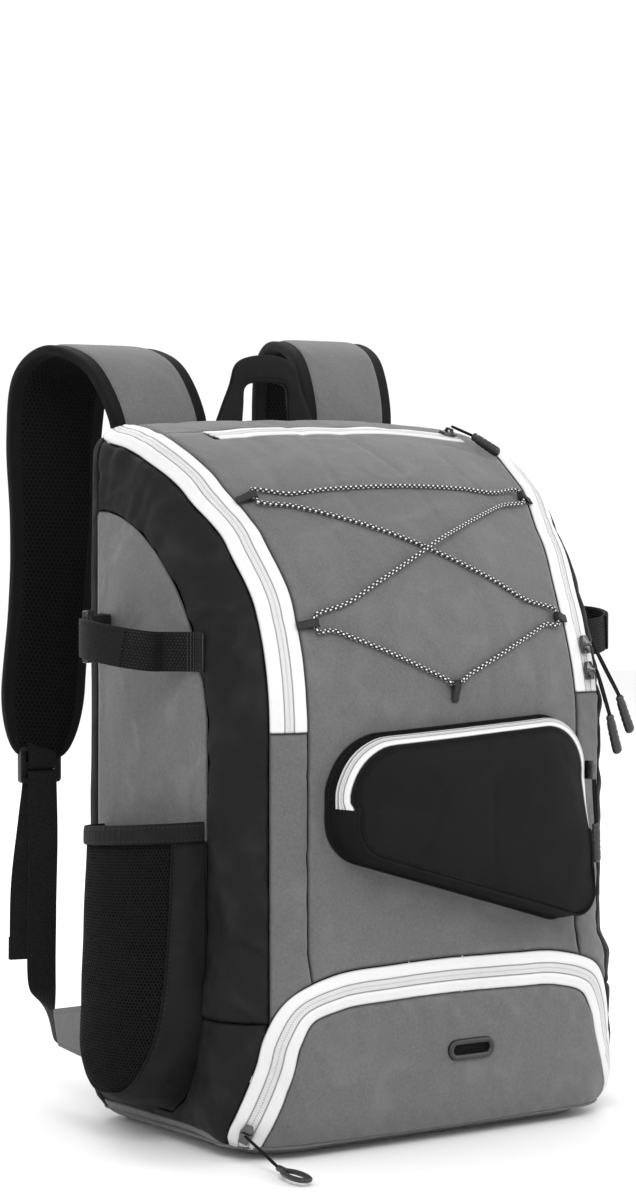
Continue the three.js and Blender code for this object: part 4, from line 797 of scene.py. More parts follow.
@cache
def finish_of(key):
    """The bag's finishes, each made once."""
    looks = bpy.context.scene.backpack_colours
    grey, black, white, dark, net, plastic, metal = (tuple(getattr(looks, name)) for name in (
        "grey", "black", "white", "webbing", "mesh", "plastic", "metal"))
    makers = {
        "grey": lambda: woven("grey_cloth", grey, 1.25, crease=0.9),
        "grey_stitched": lambda: woven(
            "grey_cloth_stitched", grey, 1.25, stitch=(2.6, shade(grey, 0.3)), crease=0.7),
        "grey_side": lambda: woven("grey_cloth_side", grey, 1.7, crease=1.3),
        "black": lambda: woven("black_cloth", black, 0.8, 0.0, 0.55, vary=0.3, shine=0.11, crease=3.4),
        "black_stitched": lambda: woven(
            "black_cloth_stitched", shade(black, 0.8), 0.8, 0.0, 0.56, (2.4, shade(black, 4.0)), vary=0.3,
            shine=0.1, crease=2.2),
        "pocket": lambda: woven(
            "pocket_cloth", shade(black, 0.7), 0.6, 0.0, 0.62, (2.2, shade(black, 2.4)), vary=0.1, shine=0.09,
            crease=0.6),
        "tab": lambda: woven("tab_cloth", grey, 1.2, stitch=(3.2, shade(grey, 0.3)), crease=0.6),
        "binding": lambda: ribbed("binding_tape", dark, rib=1.0, rows=0.8, roughness=0.7),
        "tape": lambda: tape("zip_tape", white, TAPE_WIDTH / 2, COIL_HALF),
        "shoe_tape": lambda: tape("shoe_zip_tape", white, SHOE_TAPE_WIDTH / 2, COIL_HALF),
        "pocket_tape": lambda: tape("pocket_zip_tape", white, 4.2, 1.7),
        "top_tape": lambda: tape("top_zip_tape", white, TOP_ZIP_WIDTH / 2, 2.0, 0.35),
        "webbing": lambda: ribbed("strap_webbing", shade(dark, 1.3), rib=2.0, rows=1.6),
        "fine_webbing": lambda: ribbed(
            "side_webbing", shade(dark, 1.3), rib=2.5, rows=2.1, tint=0.42, tacked=17.0),
        "cord_loop": lambda: ribbed("cord_loop_tape", shade(grey, 0.45), rib=0.9, rows=0.7, tint=0.2),
        "mesh": lambda: air_mesh("pocket_net", net, pitch=2.4, see=0.3),
        "pad_mesh": lambda: air_mesh("back_mesh", net, pitch=4.4, lift=1.3),
        "strap_mesh": lambda: air_mesh("strap_mesh", net, pitch=3.6, lift=1.2),
        "plastic": lambda: moulded("black_moulding", plastic),
        "metal": lambda: moulded("dark_metal", metal, roughness=0.24, metallic=1.0),
        "cord": lambda: braided("flecked_cord", shade(dark, 0.7), (0.8, 0.8, 0.8, 1)),
    }
    return makers[key]()


# Places on the shell that several pieces share

TURN_V = RIDGE_V + TAPE_BEHIND_RIDGE - TAPE_TURN
TURN_INNER = TAPE_TURN - TAPE_WIDTH / 2
TURN_OUTER = TAPE_TURN + TAPE_WIDTH / 2
TURN_Q = flat_half(TURN_V) - TURN_INNER
OUTER_TURN = TURN_OUTER + HALF_GAP
RIDGE_TURN = math.asin(clamp((RIDGE_V - TURN_V) / TURN_OUTER))
TOP_ZIP_HIGH_V = RIDGE_V - TOP_ZIP_TO_RIDGE
TOP_ZIP_LOW_V = TOP_ZIP_HIGH_V - TOP_ZIP_WIDTH
SHOE_LOW_Z = BASE_RISE + 2 * HALF_GAP
SHOE_ARCH = (
    (47, 0), (36, 0.21), (25, 0.49), (20, 0.68), (8, 0.87), (-22, 0.965), (-65, 0.99), (-120, 1))
SHOE_HALF = Route([
    (0 if past <= -2 * FRONT_CORNER else flat_half(0) + past, mix(SHOE_LOW_Z, SHOE_TOP_Z, up), 0)
    for past, up in SHOE_ARCH], spans=30)


def shoe_place(share, offset):
    """v and q on the right half of the shoe zip's arch, from its foot to the middle."""
    point, tangent = SHOE_HALF.at(share), SHOE_HALF.heading(share)
    if share <= 0:
        return SHOE_LOW_Z, point.x + offset
    if share >= 1:
        return point.y + offset, 0.0
    return max(point.y - offset * tangent.x, SHOE_LOW_Z), max(point.x + offset * tangent.y, 0)


def base_rise(q):
    """How much higher the grey base reaches behind the foot of the shoe zip."""
    return 7 * smooth(q, SHOE_OUTSIDE.foot - 2, SHOE_OUTSIDE.foot + 22)


class Edge:
    """The height of the shoe zip's edge at a distance from the middle."""

    def __init__(self, offset):
        places = [shoe_place(i / 120, offset) for i in range(121)]
        self.rows = sorted((q, v) for v, q in places)
        self.foot = places[0][1]

    def height(self, q):
        keys = [row[0] for row in self.rows]
        i = min(max(bisect_left(keys, abs(q)), 1), len(keys) - 1)
        (q0, v0), (q1, v1) = self.rows[i - 1], self.rows[i]
        return mix(v0, v1, clamp((abs(q) - q0) / max(q1 - q0, 1e-6)))


SHOE_OUTSIDE = Edge(SHOE_TAPE_WIDTH / 2 + HALF_GAP)
SHOE_INSIDE = Edge(-SHOE_TAPE_WIDTH / 2 - HALF_GAP)


def seam_depth(v):
    return mix(BAND_DEPTH, BAND_DEPTH_TOP, clamp((v - SHOULDER_Z) / (RIDGE_V - SHOULDER_Z)))


def seam_past(v):
    return seam_depth(v) - profile(v)[3] * (1 - QUARTER)


def side_y(past):
    return FRONT_Y + FRONT_CORNER + past - FRONT_CORNER * QUARTER


def past_of(y):
    return y - FRONT_Y - FRONT_CORNER + FRONT_CORNER * QUARTER


def lower_seam(share):
    """y and z along the curved seam of the lower side."""
    a = (FRONT_Y + BAND_DEPTH, LOWER_SEAM_Z)
    b = (FRONT_Y + BAND_DEPTH + 2, mix(LOWER_SEAM_Z, LOWER_SEAM_BACK_Z, 0.6))
    c = (LOWER_SEAM_TURN_Y, LOWER_SEAM_BACK_Z)
    return [(1 - share) ** 2 * p + 2 * share * (1 - share) * q + share ** 2 * r for p, q, r in zip(a, b, c)]


LOWER_SEAM = [lower_seam(i / 24) for i in range(25)]


def lower_top(past):
    y = side_y(past)
    for (y0, z0), (y1, z1) in zip(LOWER_SEAM, LOWER_SEAM[1:]):
        if y < y0:
            return LOWER_SEAM_Z
        if y <= y1:
            return mix(z0, z1, (y - y0) / (y1 - y0))
    return LOWER_SEAM_BACK_Z


def seam_front_y(z):
    """Where the side's curved seam runs at a height."""
    for (y0, z0), (y1, z1) in zip(LOWER_SEAM, LOWER_SEAM[1:]):
        if z > z0:
            return LOWER_SEAM[0][0]
        if z >= z1:
            return mix(y0, y1, (z0 - z) / (z0 - z1))
    return LOWER_SEAM_TURN_Y


def in_slot(v, q):
    """How far the front is pressed in round the top zip."""
    inside = min(v - TOP_ZIP_LOW_V + 1, TOP_ZIP_HIGH_V + 1 - v, q - TOP_ZIP_LEFT + 3, TOP_ZIP_RIGHT + 1 - q)
    return -SLOT_DEPTH * smooth(inside, -1.0, 1.6)


# Operators: one for each group of pieces

class BACKPACK_OT_front(bpy.types.Operator):
    """Sew the front panel, the top panel and the door of the shoe compartment"""

    bl_idname = "backpack.front"
    bl_label = "Front panels"

    def execute(self, context):
        foot = flat_half(0) - HALF_GAP
        top = TOP_ZIP_HIGH_V - HALF_GAP

        def front(a, b):
            u = 2 * a - 1
            low = SHOE_OUTSIDE.height(u * foot) + HALF_GAP
            v = mix(low, top, b)
            return v, u * (flat_half(v) - 2 * HALF_GAP)

        sewn_panel("front_cloth", 96, 150, front, "grey", ["front_panel"],
                   sewn="lrb", dip=in_slot)

        def over_top(a, b):
            u = 2 * a - 1
            if b < 0.5:
                v = mix(TOP_ZIP_HIGH_V + HALF_GAP, TURN_V, b / 0.5)
                return v, u * (flat_half(v) - HALF_GAP)
            angle = (b - 0.5) / 0.5 * QUARTER
            reach = TURN_INNER - HALF_GAP
            return TURN_V + reach * math.sin(angle), u * (TURN_Q + reach * math.cos(angle))

        sewn_panel("top_cloth", 96, 26, over_top, "grey_stitched", ["top_panel"])

        def door(a, b):
            q = (2 * a - 1) * (SHOE_INSIDE.foot - 1.5)
            return mix(SHOE_LOW_Z, SHOE_INSIDE.height(q), b), q

        sewn_panel("shoe_cloth", 110, 44, door, "grey", ["shoe_door"], pucker=0.8)
        return {"FINISHED"}


class BACKPACK_OT_sides(bpy.types.Operator):
    """Sew the strips, bands and panels of both sides"""

    bl_idname = "backpack.sides"
    bl_label = "Side panels"

    def execute(self, context):
        for name, sign in SIDES:
            self.strips(name, sign)
            self.panels(name, sign)
            self.rear(name, sign)
        self.rear_strip()
        return {"FINISHED"}

    def strips(self, name, sign):
        tape_end = TAPE_END_LEFT if sign < 0 else TAPE_END_RIGHT

        def gusset(a, b):
            q = flat_half(0) + mix(HALF_GAP, TAPE_WIDTH - HALF_GAP, a)
            v = mix(SHOE_OUTSIDE.height(q), tape_end - 2 * HALF_GAP, b)
            return v, sign * (q + flat_half(v) - flat_half(0))

        sewn_panel(f"gusset_cloth_{name}", 14, 70, gusset, "grey",
                   [f"gusset_strip_{name}"], pucker=0.45, dip=ripples(0.9))

        def side_band(a, b):
            high = RIDGE_V - HALF_GAP
            v = mix(LOWER_SEAM_Z + HALF_GAP, high, b)
            if v <= TURN_V:
                edge = flat_half(v) + TAPE_WIDTH + HALF_GAP
            else:
                edge = TURN_Q + math.sqrt(max(OUTER_TURN ** 2 - (v - TURN_V) ** 2, 0))
            return v, sign * mix(edge, flat_half(v) + seam_past(v) - HALF_GAP, a)

        sewn_panel(f"side_band_cloth_{name}", 22, 150, side_band, "black",
                   [f"side_band_{name}"], dip=ripples(3.6))

        def lower(a, b):
            past = mix(TAPE_WIDTH + 1.5, past_of(RIDGE_Y - HALF_GAP), a)
            q = flat_half(0) + past
            low = max(SHOE_OUTSIDE.height(q), SHOE_LOW_Z) if q < SHOE_OUTSIDE.foot else SHOE_LOW_Z
            low = max(low, SHOE_LOW_Z + base_rise(q))
            return mix(low, lower_top(past) - HALF_GAP, b), sign * q

        def skirt(a, b):
            q = mix(SHOE_OUTSIDE.foot + 1, flat_half(0) + past_of(RIDGE_Y), a)
            return SHOE_LOW_Z - 0.6 + (base_rise(q) + 0.2) * b, sign * q

        sewn_panel(f"base_skirt_{name}", 60, 5, skirt, "grey", (), tuck=0.5,
                   sewn="t", pucker=0.0)
        sewn_panel(f"lower_cloth_{name}", 80, 36, lower, "black",
                   [f"lower_side_{name}"], sewn="lbt", pucker=0.2, dip=ripples(2.6))

    def panels(self, name, sign):
        """The flat side, puffed a little above the pocket."""
        def edge_at(b):
            level = mix(LOWER_SEAM_BACK_Z + 1, RIDGE_Z - seam_depth(RIDGE_V) - 0.5, b)
            if level <= SHOULDER_Z:
                return seam_front_y(level), level
            low, high = SHOULDER_Z, RIDGE_V - 2
            for _ in range(22):
                v = (low + high) / 2
                _, z, angle, _ = profile(v)
                if z - seam_depth(v) * math.sin(angle) < level:
                    low = v
                else:
                    high = v
            y, _, angle, _ = profile(low)
            return y + seam_depth(low) * math.cos(angle), level

        def flat(a, b):
            front, z = edge_at(b)
            y = mix(front + 0.4, RIDGE_Y - HALF_GAP, a)
            distance = min(y - front, b * 420, (1 - b) * 420)
            tuck = -1.4 * (1 - rounding(distance / EDGE_TURN))
            puff = 1.6 * smooth(distance, 0, 30) * smooth(RIDGE_Y - y, 0, 30) * smooth(z, 250, 300)
            swells = 1.1 * noise.noise(Vector((y / 30, z / 60, 2.2 + sign)))
            puff += swells * smooth(distance, 0, 20) * smooth(z, 235, 290)
            return Vector((sign * (HALF_WIDTH + tuck + puff), y, z)), y, z, distance

        mesh = turned_out(laid(44, 130, flat))
        # Painted shade: the side panel is black inside the side pocket, below its hem.
        for face in mesh.faces:
            face.material_index = 1 if face.calc_center_median().z < POCKET_SHADE_TOP_Z * MM else 0
        piece(f"side_cloth_{name}", mesh, ("grey_side", "black"),
              [f"side_panel_{name}"], wall=CLOTH_WALL)

    def rear(self, name, sign):
        """The black edge between the side and the padded back."""
        corner_z = BACK_PAD_TOP_Z - BACK_PAD_CORNER
        reach = BACK_PAD_CORNER + 0.7
        rows = []
        for i in range(13):
            angle = mix(RIDGE_TURN, QUARTER, i / 12)
            rows.append((TURN_V + OUTER_TURN * math.sin(angle), TURN_Q + OUTER_TURN * math.cos(angle)))
        rows.append((BACK_TOP_V, TURN_Q))
        for i in range(13):
            turn = i / 12 * QUARTER
            rows.append((
                back_v(corner_z + reach * math.cos(turn)),
                BACK_PAD_HALF_WIDTH - BACK_PAD_CORNER + reach * math.sin(turn)))
        for i in range(1, 61):
            rows.append((back_v(mix(corner_z, SHOE_LOW_Z, i / 60)), BACK_PAD_HALF_WIDTH + 0.7))
        rear_past = REAR_CORNER * QUARTER + TOP_BACK_ROUND - REAR_CORNER - 1

        def place(a, b):
            v, q = rows[round(b * (len(rows) - 1))]
            return max(v, RIDGE_V + HALF_GAP), sign * mix(q, flat_half(v) + rear_past, a)

        sewn_panel(f"rear_cloth_{name}", 22, len(rows) - 1, place, "black",
                   [f"back_edge_{name}"], sewn="lr", pucker=0.15)

    def rear_strip(self):
        low, high = TURN_V + OUTER_TURN, back_v(BACK_PAD_TOP_Z + 0.7)
        half = min(TURN_Q, BACK_PAD_HALF_WIDTH - BACK_PAD_CORNER) - 2 * HALF_GAP

        def place(a, b):
            return mix(low, high, b), half * (2 * a - 1)

        sewn_panel("rear_top_cloth", 60, 8, place, "black", ["rear_top_strip"],
                   pucker=0.1)


class BACKPACK_OT_base(bpy.types.Operator):
    """Sew the base with its piping"""

    bl_idname = "backpack.base"
    bl_label = "Base"

    LEVELS = (0.0, 0.4, 1.5, 3.2, 5.5, 8.8)
    FLOOR_INSET = 60.0
    MIDDLE_Y = -10
    PIPING_Z = 9.2

    def outline(self, z, inset):
        """The floor plan at a height, as points round the bag."""
        corners = (
            (1, -1, FRONT_CORNER, -QUARTER), (1, 1, REAR_CORNER, 0),
            (-1, 1, REAR_CORNER, QUARTER), (-1, -1, FRONT_CORNER, 2 * QUARTER))
        points = []
        for sx, sy, radius, start in corners:
            r = max(radius - inset, 1)
            x = sx * (HALF_WIDTH - radius)
            y = (FRONT_Y + radius) if sy < 0 else (BACK_Y - radius)
            for i in range(13):
                angle = start + i / 12 * QUARTER
                points.append(Vector((x + r * math.cos(angle), y + r * math.sin(angle), z)))
        return points

    def execute(self, context):
        rings = [self.outline(0.0, self.FLOOR_INSET)]
        rings += [self.outline(z, bottom_inset(z)) for z in self.LEVELS]
        sides = len(rings[0])

        def place(a, b):
            ring = rings[round(b * (len(rings) - 1))]
            point = ring[round(a * sides) % sides].copy()
            seam = self.LEVELS[-1] - point.z
            puff = -0.8 * (1 - smooth(seam, 0, 2.5))
            middle = Vector((0, self.MIDDLE_Y, point.z))
            point += (point - middle).normalized() * puff
            return point, a * 1000, point.z + point.length * 0.4, seam

        mesh = laid(sides, len(rings) - 1, place, joined=True)
        low = [edge for edge in mesh.edges if edge.is_boundary and edge.verts[0].co.z < 0.0005]
        bmesh.ops.holes_fill(mesh, edges=low)
        turned_out(mesh, (0, self.MIDDLE_Y, 60))
        piece("base_cloth", mesh, "grey", ["base"], wall=1.5)

        piping = self.outline(self.PIPING_Z, bottom_inset(self.PIPING_Z) + 0.3)
        rope = Route([point + past_round(point) * SHOE_PUFF for point in piping], spans=4, closed=True)
        points = rope.evenly(300)
        piece("base_piping", tube(points, 1.1, 8, closed=True), "grey")
        return {"FINISHED"}


def past_round(point):
    """The share and direction by which the stuffed shoe compartment pushes the base's edge out."""
    corner_y = FRONT_Y + FRONT_CORNER
    if point.y < corner_y:
        if abs(point.x) < flat_half(0):
            return Vector((0, -1, 0))
        return (point - Vector((math.copysign(flat_half(0), point.x), corner_y, point.z))).normalized()
    if abs(point.x) < HALF_WIDTH - 30:
        return Vector((0, 0, 0))
    return Vector((math.copysign(1, point.x), 0, 0)) * puff_round(past_of(point.y))


class BACKPACK_OT_zips(bpy.types.Operator):
    """Lay the white zip tapes of the main, shoe and top zips"""

    bl_idname = "backpack.zips"
    bl_label = "Zip tapes"

    def execute(self, context):
        self.main_zip()
        self.shoe_zip()
        self.top_zip()
        return {"FINISHED"}

    @staticmethod
    def cross(across, width):
        """The tape's section: turned edges, two flaps and the coil between them."""
        edge = min(across, width - across)
        lift = -1.5 * (1 - rounding(edge / 3))
        off = abs(across - width / 2)
        lift += 0.55 * math.exp(-((off - COIL_HALF - 2.2) / 2.2) ** 2)
        lift -= 0.5 * math.exp(-((off - COIL_HALF) / 0.8) ** 2)
        return lift, edge

    def main_zip(self):
        middle = TAPE_WIDTH / 2
        bend = (TURN_INNER + middle) * QUARTER
        runs = [TURN_V - TAPE_END_LEFT, bend, 2 * TURN_Q, bend, TURN_V - TAPE_END_RIGHT]
        total = sum(runs)

        def place(a, b):
            across = mix(HALF_GAP, TAPE_WIDTH - HALF_GAP, a)
            run = b * total
            sign, rest, end = -1, run, TAPE_END_LEFT
            if run > total / 2:
                sign, rest, end = 1, total - run, TAPE_END_RIGHT
            leg = TURN_V - end
            if rest <= leg:
                v = end + rest
                q = flat_half(v) + across
            elif rest <= leg + bend:
                angle = (rest - leg) / bend * QUARTER
                v = TURN_V + (TURN_INNER + across) * math.sin(angle)
                q = TURN_Q + (TURN_INNER + across) * math.cos(angle)
            else:
                v = TURN_V + TURN_INNER + across
                q = TURN_Q - (rest - leg - bend)
            lift, edge = self.cross(across, TAPE_WIDTH)
            lift += 0.25 * noise.noise(Vector((run / 14, across / 20, 0)))
            return cloth_skin(v, sign * q, lift - 0.2), across, run, min(edge, rest)

        piece("main_zip_tape", turned_out(laid(28, 560, place)), "tape",
              ["main_zipper"], wall=1.2)

    def shoe_zip(self):
        total = 2 * SHOE_HALF.length
        middle = SHOE_TAPE_WIDTH / 2

        def place(a, b):
            across = mix(HALF_GAP, SHOE_TAPE_WIDTH - HALF_GAP, a)
            sign, share = (-1, 2 * b) if b < 0.5 else (1, 2 - 2 * b)
            v, q = shoe_place(share, across - middle)
            lift, edge = self.cross(across, SHOE_TAPE_WIDTH)
            return cloth_skin(v, sign * q, lift - 0.1), across, b * total, edge

        piece("shoe_zip_tape", turned_out(laid(24, 340, place)), "shoe_tape",
              ["shoe_zipper"], wall=1.2)

    def top_zip(self):
        def place(a, b):
            v = mix(TOP_ZIP_LOW_V - 3.5, TOP_ZIP_HIGH_V - 0.4, a)
            q = mix(TOP_ZIP_LEFT - 6 * a, TOP_ZIP_RIGHT, b)
            across = a * TOP_ZIP_WIDTH
            edge = min(across, TOP_ZIP_WIDTH - across)
            lift = 1.3 * smooth(edge, 0, 1.5) - 0.2 - 0.5 * math.exp(-((across - 7) / 0.9) ** 2)
            return cloth_skin(v, q, lift), across, q + 200, edge

        piece("top_zip_tape", turned_out(laid(10, 90, place)), "top_tape",
              ["top_zip"], wall=1.0)


class BACKPACK_OT_vent(bpy.types.Operator):
    """Fit the moulded vent and its net in the shoe compartment's door"""

    bl_idname = "backpack.vent"
    bl_label = "Vent"

    def execute(self, context):
        centre = cloth_skin(VENT_Z, VENT_X, 0.0)

        def oval(angle, inset):
            reach = VENT_HALF_LENGTH - VENT_HALF_HEIGHT
            r = VENT_HALF_HEIGHT - inset
            x = math.cos(angle) * r + math.copysign(reach, math.cos(angle)) * min(1, abs(math.cos(angle)) * 4)
            return x, math.sin(angle) * r

        section = (
            (0, -1.5), (0, 1.2), (0.5, 2.2), (1.4, 2.7), (2.6, 2.6), (3.7, 2.1), (4.4, 1.2), (4.5, -1.5))

        def ring(a, b):
            inset, out = section[round(b * (len(section) - 1))]
            x, z = oval(a * 2 * math.pi, inset)
            return Vector((centre.x + x, centre.y - out, centre.z + z)), a * 90, b * 12, 9.0

        mesh = laid(64, len(section) - 1, ring, joined=True)
        bmesh.ops.recalc_face_normals(mesh, faces=mesh.faces)
        turned_out(mesh, (VENT_X, -100, VENT_Z))
        piece("vent_frame", mesh, "plastic", ["vent_ring"], soften=True)

        def net(a, b):
            x, z = oval(a * 2 * math.pi, 4.2)
            return Vector((centre.x + x * b, centre.y - 0.5, centre.z + z * b)), x * b, z * b, 9.0

        mesh = laid(48, 6, net, joined=True)
        piece("vent_net", turned_out(mesh), "mesh", wall=0.5)
        return {"FINISHED"}


# Front pocket

POCKET_ROOT = ((-103, 282, 42), (-103, 206, 32), (116, 141, 22), (113, 293, 38))
POCKET_FACE = ((-94, 275, 37), (-96, 209, 27), (112, 147, 15), (98, 286, 32))
POCKET_TAPE_WIDTH = 11.0
POCKET_WALL = 11.5
POCKET_CREASE = 20.5
POCKET_CROWN = 33.5


POCKET_ARC_STEPS = 12
POCKET_EDGE_STEPS = 26


def rounded_outline(corners, arc_steps=POCKET_ARC_STEPS, edge_steps=POCKET_EDGE_STEPS):
    """Points round a shape with round corners: an arc at each corner and the edge after it."""
    count = len(corners)
    flat = [Vector((x, z)) for x, z, _ in corners]
    arcs = []
    for i, (_, _, radius) in enumerate(corners):
        here = flat[i]
        before = (flat[i - 1] - here).normalized()
        after = (flat[(i + 1) % count] - here).normalized()
        half = math.acos(clamp(before.dot(after), -1, 1)) / 2
        centre = here + (before + after).normalized() * (radius / math.sin(half))
        start = math.atan2(before.x, -before.y)
        sweep = math.pi - 2 * half
        arcs.append([
            Vector((centre.x + radius * math.cos(start + k / arc_steps * sweep),
                    centre.y + radius * math.sin(start + k / arc_steps * sweep)))
            for k in range(arc_steps + 1)])
    points = []
    for i, arc in enumerate(arcs):
        points += arc
        points += [arc[-1].lerp(arcs[(i + 1) % count][0], k / edge_steps) for k in range(1, edge_steps)]
    return points


ROOT_LINE = rounded_outline(POCKET_ROOT)
FACE_LINE = rounded_outline(POCKET_FACE)
POCKET_COUNT = len(ROOT_LINE)
POCKET_MIDDLE = Vector((5, 226))
POCKET_MARKS = [0.0]
for step in range(POCKET_COUNT):
    POCKET_MARKS.append(
        POCKET_MARKS[-1] + (ROOT_LINE[(step + 1) % POCKET_COUNT] - ROOT_LINE[step]).length)
POCKET_SPAN = POCKET_ARC_STEPS + POCKET_EDGE_STEPS
ZIP_START = 3 * POCKET_SPAN - 17
ZIP_END = 4 * POCKET_SPAN + POCKET_ARC_STEPS + 11


def on_zip(index):
    """1 where the zip runs round the pocket, 0 along its sewn lower half."""
    near = min((index - ZIP_START) % POCKET_COUNT, (ZIP_END - index) % POCKET_COUNT)
    inside = (index - ZIP_START) % POCKET_COUNT <= ZIP_END - ZIP_START
    return smooth(near if inside else 0, 0, 14)


def crease_height(index):
    return mix(POCKET_CREASE + 6.5, POCKET_CREASE, on_zip(index))


def pocket_wall(index, share, out=0.0):
    """A point of the pocket's wall: share 0 to 1 stands off the panel, 1 to 2 slants in to the crease."""
    i = index % POCKET_COUNT
    root, face = ROOT_LINE[i], FACE_LINE[i]
    crease = crease_height(i)
    inward = (face - root).normalized()
    if share <= 1:
        flat = root.lerp(face, 0.1 * share) - inward * out
        return cloth_skin(flat.y, flat.x, mix(0.5, POCKET_WALL, share))
    flat = root.lerp(face, mix(0.1, 1.0, share - 1)) - inward * out * 0.7
    return cloth_skin(flat.y, flat.x, mix(POCKET_WALL, crease, (share - 1) ** 0.85) + 0.7 * out)


class BACKPACK_OT_front_pocket(bpy.types.Operator):
    """Sew the front pocket, its zip and its piping"""

    bl_idname = "backpack.front_pocket"
    bl_label = "Front pocket"

    def execute(self, context):
        wall_rows, slant_rows, face_rows = 7, 7, 26
        rows = wall_rows + slant_rows + face_rows

        def bag(a, b):
            i = round(a * POCKET_COUNT)
            row = round(b * rows)
            run = POCKET_MARKS[min(i, POCKET_COUNT)]
            if row <= wall_rows + slant_rows:
                share = row / wall_rows if row <= wall_rows else 1 + (row - wall_rows) / slant_rows
                loose = 1 - on_zip(i)
                sag = 1.1 * noise.noise(Vector((run / 24, share * 1.6, 5))) * smooth(share, 0.1, 0.6) * loose
                foot = 1.3 * (1 - smooth(share, 0, 0.25))
                height = share * POCKET_WALL
                return pocket_wall(i, share, sag + foot), run, height, min(height, abs(2 - share) * 12)
            share = 1 - (row - wall_rows - slant_rows) / face_rows
            edge = FACE_LINE[i % POCKET_COUNT]
            flat = POCKET_MIDDLE.lerp(edge, share)
            crease = crease_height(i)
            crown = mix(crease, POCKET_CROWN, 1 - share ** 5)
            ripple = 0.9 * noise.noise(Vector((flat.x / 48, flat.y / 40, 6)))
            ripple += 0.35 * noise.noise(Vector((flat.x / 16, flat.y / 19, 3)))
            crown += ripple * smooth(1 - share, 0, 0.25)
            inside = (POCKET_MIDDLE - edge).length * (1 - share)
            return cloth_skin(flat.y, flat.x, crown), flat.x, flat.y, inside

        mesh = laid(POCKET_COUNT, rows, bag, joined=True)
        turned_out(mesh, (5, -120, 232))
        piece("pocket_cloth", mesh, "pocket", ["front_pocket"], wall=1.2)

        low = [pocket_wall(i, 1.98, 0.6) for i in range(ZIP_END - 4, ZIP_START + POCKET_COUNT + 5)]
        rope = tube(Route(low, spans=3).evenly(260), PIPING_RADIUS, 8)
        piece("pocket_piping", rope, "binding")
        root = [pocket_wall(i, 0.06, 1.5) for i in range(POCKET_COUNT)]
        rope = tube(Route(root, spans=3, closed=True).evenly(420), PIPING_RADIUS, 8, closed=True)
        piece("pocket_root_piping", rope, "binding")
        self.zip_tape()
        return {"FINISHED"}

    @staticmethod
    def zip_tape():
        """The tape runs from the right side over the top to the left side."""
        width = POCKET_TAPE_WIDTH

        def place(a, b):
            i = round(mix(ZIP_START, ZIP_END, b))
            across = a * width
            seam = min(across, width - across)
            run = POCKET_MARKS[i % POCKET_COUNT] + (POCKET_MARKS[-1] if i >= POCKET_COUNT else 0)
            lift = 1.0 - 0.5 * math.exp(-((across - 4.6) / 0.8) ** 2) - 0.7 * (1 - smooth(seam, 0, 1.5))
            return pocket_wall(i, mix(0.82, 1.74, a), lift), across, run, min(seam, 9)

        piece("pocket_zip_tape", turned_out(laid(12, ZIP_END - ZIP_START, place)), "pocket_tape",
              ["front_pocket_zip"], wall=0.8)


# Side pockets

POCKET_FOOT_Z = LOWER_SEAM_BACK_Z + 1
SIDE_RIM_Z = 227
SIDE_RIM_DROP = 12
SIDE_REAR_Y = 60
SIDE_REAR_IN = 26
SIDE_RIM_OUT = 36
SIDE_BELLY_OUT = 44
SIDE_BELLY_LOW_Z = 78
SIDE_POWER = 2.1
SIDE_SEAT = 1.95
HEM_HEIGHT = 14
HEM_SHARE = 1 - HEM_HEIGHT / (SIDE_RIM_Z - POCKET_FOOT_Z)
FRAME_ROWS = (
    (0.17, 1, 0, 1), (0.175, 0.75, 0, 0.78), (0.19, 0.5, 0, 0.55), (0.23, 0.27, 0, 0.36),
    (0.28, 0.15, 0, 0.2), (0.36, 0.09, 0.05, 0.07), (0.46, 0.075, 0.34, 0), (0.6, 0.075, 0.66, 0),
    (0.72, 0.09, 0.95, 0.07), (0.79, 0.17, 1, 0.2), (0.82, 0.27, 1, 0.36), (0.84, 0.5, 1, 0.55),
    (0.85, 0.75, 1, 0.78), (0.85, 1, 1, 1))
MESH_EDGE = Route([(row[0] * 3, row[1], 0) for row in FRAME_ROWS], spans=10)
ROOT_EDGE = Route([(row[2] * 3, row[3], 0) for row in FRAME_ROWS], spans=10)


def side_pocket_point(sign, angle, share, lift=0.0):
    """A point of the side pocket: the angle round it from front to back and a share of its height."""
    level = mix(POCKET_FOOT_Z, SIDE_RIM_Z, share)
    front = seam_front_y(level)
    rear = SIDE_REAR_Y - SIDE_REAR_IN * clamp(1 - (level - POCKET_FOOT_Z) / 50) ** 2
    belly = mix(SIDE_RIM_OUT, SIDE_BELLY_OUT, clamp((SIDE_RIM_Z - level) / SIDE_RIM_Z * 1.6))
    drop = clamp((SIDE_BELLY_LOW_Z - level) / (SIDE_BELLY_LOW_Z - POCKET_FOOT_Z))
    belly = mix(2, belly, math.sqrt(1 - drop ** 3))
    power = 2 / SIDE_POWER

    def at(turn):
        c = math.cos(turn)
        y = mix(front, rear, 0.5 - 0.5 * math.copysign(abs(c) ** power, c))
        return Vector((belly * max(math.sin(turn), 0) ** power, y))

    turn = angle * math.pi
    here = at(turn)
    along = (at(min(turn + 0.02, math.pi)) - at(max(turn - 0.02, 0))).normalized()
    drop = SIDE_RIM_DROP * share * (here.y - front) / (rear - front)
    return Vector((
        sign * (HALF_WIDTH + SIDE_SEAT + here.x + lift * along.y), here.y - lift * along.x, level - drop))


